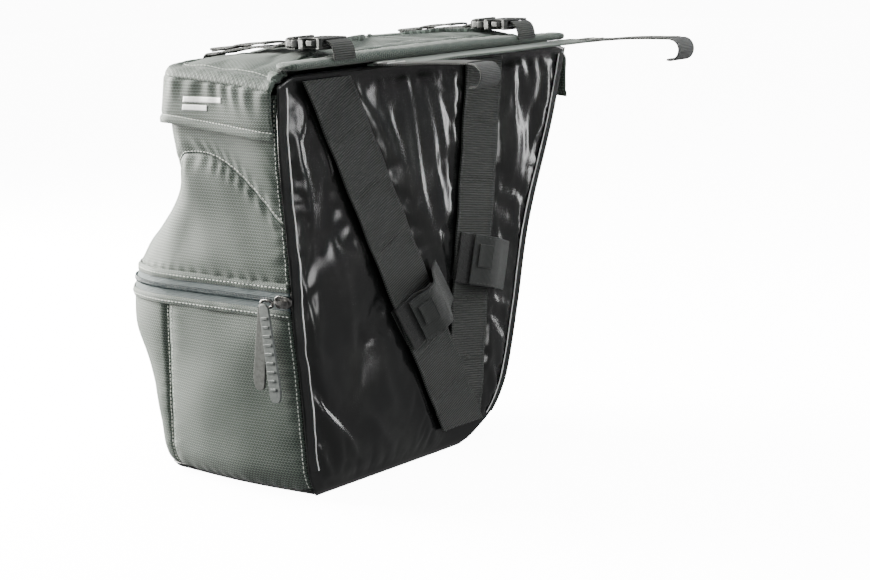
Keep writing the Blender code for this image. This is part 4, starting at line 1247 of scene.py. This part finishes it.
quads = grid_faces(count + 1, size, flip=True, closed=True) % (count * size)
make_mesh("zip_link_ring", tube.reshape(-1, 3), quads, nickel, "zip_runner",
          replaces=["zip_puller_link"])
LEAVES = {
    "front": ((30.5, 43.5), (39, 52), 84.0, -179.4, pull_rubber),
    "back": ((28, 41), (20, 33), 92.0, -177.2, pull_back),
}
for name, (top, foot, end, face, finish) in LEAVES.items():
    shape = rounded([(top[0] + 1.5, 163.5), (foot[0], end + 10), (foot[0] + 1.5, end), (foot[1] - 1.5, end),
                     (foot[1], end + 10), (top[1] - 1.5, 163.5)], radius=4.5)
    moulding(f"zip_pull_{name}_leaf", shape, face - 0.1, face + 1.8, "zip_pull", finish,
             axis=1, edge=0.5, replaces=[f"zip_pull_{name}"])
for k, share in enumerate(np.linspace(0.12, 0.86, 9)):
    centre = np.array([37 + 8.5 * share, 161.5 - (161.5 - 84) * share])
    lean = np.array([0.99, 0.11])
    half = 4.4 if 0.3 < share < 0.7 else 3.4
    bar = rounded([centre - lean * half - [0, 1.1], centre + lean * half - [0, 1.1],
                   centre + lean * half + [0, 1.1], centre - lean * half + [0, 1.1]], radius=1.0)
    moulding(f"zip_pull_rib_{k}", bar, -180.2, -179.3, "zip_pull", pull_rubber,
             axis=1, edge=0.3)


# %% [markdown]
# ## Rack flap
# A single layer of the grey cloth lies on the rack. Two straps sewn to its far edge run to the rail
# and wrap round it with hook and loop. The flap is a flat sheet of cloth.

# %% Flap sheet and rail straps
FLAP_ROOT, FLAP_EDGE, FLAP_TOP = 67.4, 105.0, 345.4
FLAP_LOW, FLAP_HIGH = -82.0, 211.0
flap_s, flap_t = np.meshgrid(np.linspace(0, 1, 130), np.linspace(0, 1, 20))
near_side = FLAP_LOW + 12 * np.clip(1 - flap_t / 0.62, 0, 1)
far_side = FLAP_HIGH - 8 * (1 - flap_t)
flap_x = FLAP_ROOT + (FLAP_EDGE - FLAP_ROOT) * flap_t - 6 * ease(flap_s, 0.02) * flap_t**8
flap_y = near_side + (far_side - near_side) * flap_s
flap = np.dstack([flap_x, flap_y, np.full_like(flap_x, FLAP_TOP)])
flap_edge_gap = np.minimum.reduce([FLAP_EDGE - flap_x, flap_y - near_side, far_side - flap_y])
flap[..., 2] += (0.35 * swell(flap * [1, 0.6, 1], 40, 81) - 0.5 * ease(flap_edge_gap - 5, 1.5)
                 + 0.35 * ease(flap_edge_gap - 1.5, 2.5)) * np.clip(flap_t * 2 - 0.6, 0, 1)
flap_sheet = cloth_panel("rack_flap_sheet", flap, body_fabric, "flap", 1.6, flap[..., 1::-1],
                         replaces=["rack_flap"])
root = [(60.4, FLAP_LOW + 12), (67.6, FLAP_LOW + 12), (67.6, FLAP_HIGH - 8), (60.4, FLAP_HIGH - 8)]
flap_root = moulding("rack_flap_seam_cloth", root, 343.6, 345.3, "bag", body_fabric, edge=0.5,
                     replaces=["rack_flap_seam"])
FLAP_PALE = ("flap_stitches", "flap", "body_fabric", pale_thread)
sew(FLAP_PALE, sample(flap, np.full(130, 19 * 0.86), np.arange(130.0) * 0.97 + 2), UPWARD, pitch=3.6)
for column in (1.8, 126.5):
    rows = np.linspace(1, 18, 130)
    sew(FLAP_PALE, sample(flap, rows, np.full(130, column)), UPWARD, pitch=3.6)
RACK_STRAPS = {"near": -81.5, "far": 198.5}
RAIL_X, RAIL_Z, RAIL_HOLLOW = 186.0, 340.0, 8.6


def rail_arc(radius, angles, y):
    """Points round the rack's rail at given angles, in the plane of one y."""
    return np.stack([RAIL_X + radius * np.cos(angles), np.full(len(angles), y),
                     RAIL_Z + radius * np.sin(angles)], 1)


for name, y in RACK_STRAPS.items():
    crest = RAIL_Z + RAIL_HOLLOW
    route = smooth_route([(88, y, 346.2), (110, y, 346.2), (145, y, 348.3), (RAIL_X - 4, y, crest + 0.1)], 60)
    tape(f"rack_strap_{name}_webbing", route[::-1], SIDEWAYS, STRAP_WIDTH, STRAP_THICK, strap_webbing, "flap",
         [f"rack_strap_{name}"], curl=0.5)
    swing = np.radians(np.linspace(88, -110, 60))
    wrap = np.vstack([[[RAIL_X - 3.4, y, crest + 0.05]], rail_arc(RAIL_HOLLOW, swing, y)])
    tape(f"rack_strap_{name}_wrap_tape", wrap[::-1], SIDEWAYS, STRAP_WIDTH, 1.3, hook_tape, f"rail_wrap_{name}",
         [f"rack_strap_{name}_wrap"])
    inner = rail_arc(RAIL_HOLLOW - 0.45, swing, y)
    tape(f"rack_strap_{name}_wrap_pile", inner[::-1], SIDEWAYS, STRAP_WIDTH - 1.5, 0.6, loop_tape,
         f"rail_wrap_{name}")
    TACK = ("strap_tacks", "flap", "webbing", pale_thread)
    for x in (91.0, 101.5):
        line = np.stack([np.full(30, x), y + np.linspace(-11, 11, 30), np.full(30, 346.4 + STRAP_THICK)], 1)
        sew(TACK, line, UPWARD, pitch=1.5, width=1.4, height=0.7)


# %% [markdown]
# ## Base, print and threads
# The base is a tray of coated cloth under its own board. Two short pale bars stand for a print on
# the skirt. Last, each group of stitches becomes one mesh.

# %% Base tray
base_columns = even_columns(0, 5, 6.0, 5.0)
sides = [wall(base_columns, np.full_like(base_columns, z), grow) for z, grow in
         ((7.0, 0.3), (3.5, 0.5), (1.2, 0.0), (0.2, -1.5), (0.05, -5.0))]
middle = np.array([0.0, -45.0, 0.15])
rings_in = [sides[-1] * (1 - share) + middle * share for share in (0.15, 0.35, 0.6, 0.85, 0.985)]
tray = np.array(sides + rings_in)
tray = np.concatenate([tray, tray[:, :1]], axis=1)
points, faces, tray_uv = close_loop(tray, tray[..., [1, 0]], -1)
tray_cloth = make_mesh("base_tray", points, faces, coated, "bag", tray_uv,
                       ["base_panel"])
thicken(tray_cloth, 1.4)

# %% Pale bars and threads
grid, outward, columns = panels["lid_skirt"]
for k, (low_x, high_x, low_z, high_z) in enumerate(((-41, 5, 321.5, 326), (-41, -10, 315, 319.5))):
    row_x, row_y = grid[10, :, 0], grid[10, :, 1]
    near_columns = np.flatnonzero((row_x > low_x) & (row_x < high_x) & (row_y < -100))
    column = np.linspace(near_columns[0], near_columns[-1], 40)
    height_at = np.array([np.interp([low_z, high_z], grid[:, int(j), 2], np.arange(len(grid))) for j in column])
    share = np.linspace(0, 1, 5)[:, None]
    row = height_at[:, 0] + (height_at[:, 1] - height_at[:, 0]) * share
    place = sample(grid, row.ravel(), np.tile(column, 5)).reshape(5, 40, 3)
    up = sample(outward, row.ravel(), np.tile(column, 5)).reshape(5, 40, 3)
    cloth_panel(f"skirt_bar_{k}", place + up * 0.35, print_and_painted_highlight, "lid", 0.3, flip=True)
finish_threads()

# %% Finish carried-over pieces, and the floor
BOARDS = {"stiffener_board": board, "base_board": board}
for node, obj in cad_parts.items():
    finish = plastic if node.endswith("_guide") else BOARDS.get(node)
    if finish:
        for material_slot in obj.material_slots:
            material_slot.material = finish

floor_finish = make_plain("floor", (0.8, 0.8, 0.8), (0.84, 0.84, 0.84), 2, 0.8, emission_strength=12.0)
floor_finish.node_tree.nodes["Principled BSDF"].inputs["Emission Color"].default_value = (1, 1, 1, 1)
FLOOR_HALF = 6.0
floor_mesh = bpy.data.meshes.new("floor")
floor_corners = [(x * FLOOR_HALF, y * FLOOR_HALF, -0.0004) for x, y in ((-1, -1), (1, -1), (1, 1), (-1, 1))]
floor_mesh.from_pydata(floor_corners, [], [(0, 1, 2, 3)])
floor_mesh.materials.append(floor_finish)
floor = bpy.data.objects.new("floor", floor_mesh)
floor.visible_glossy = floor.visible_diffuse = False
bpy.context.scene.collection.objects.link(floor)
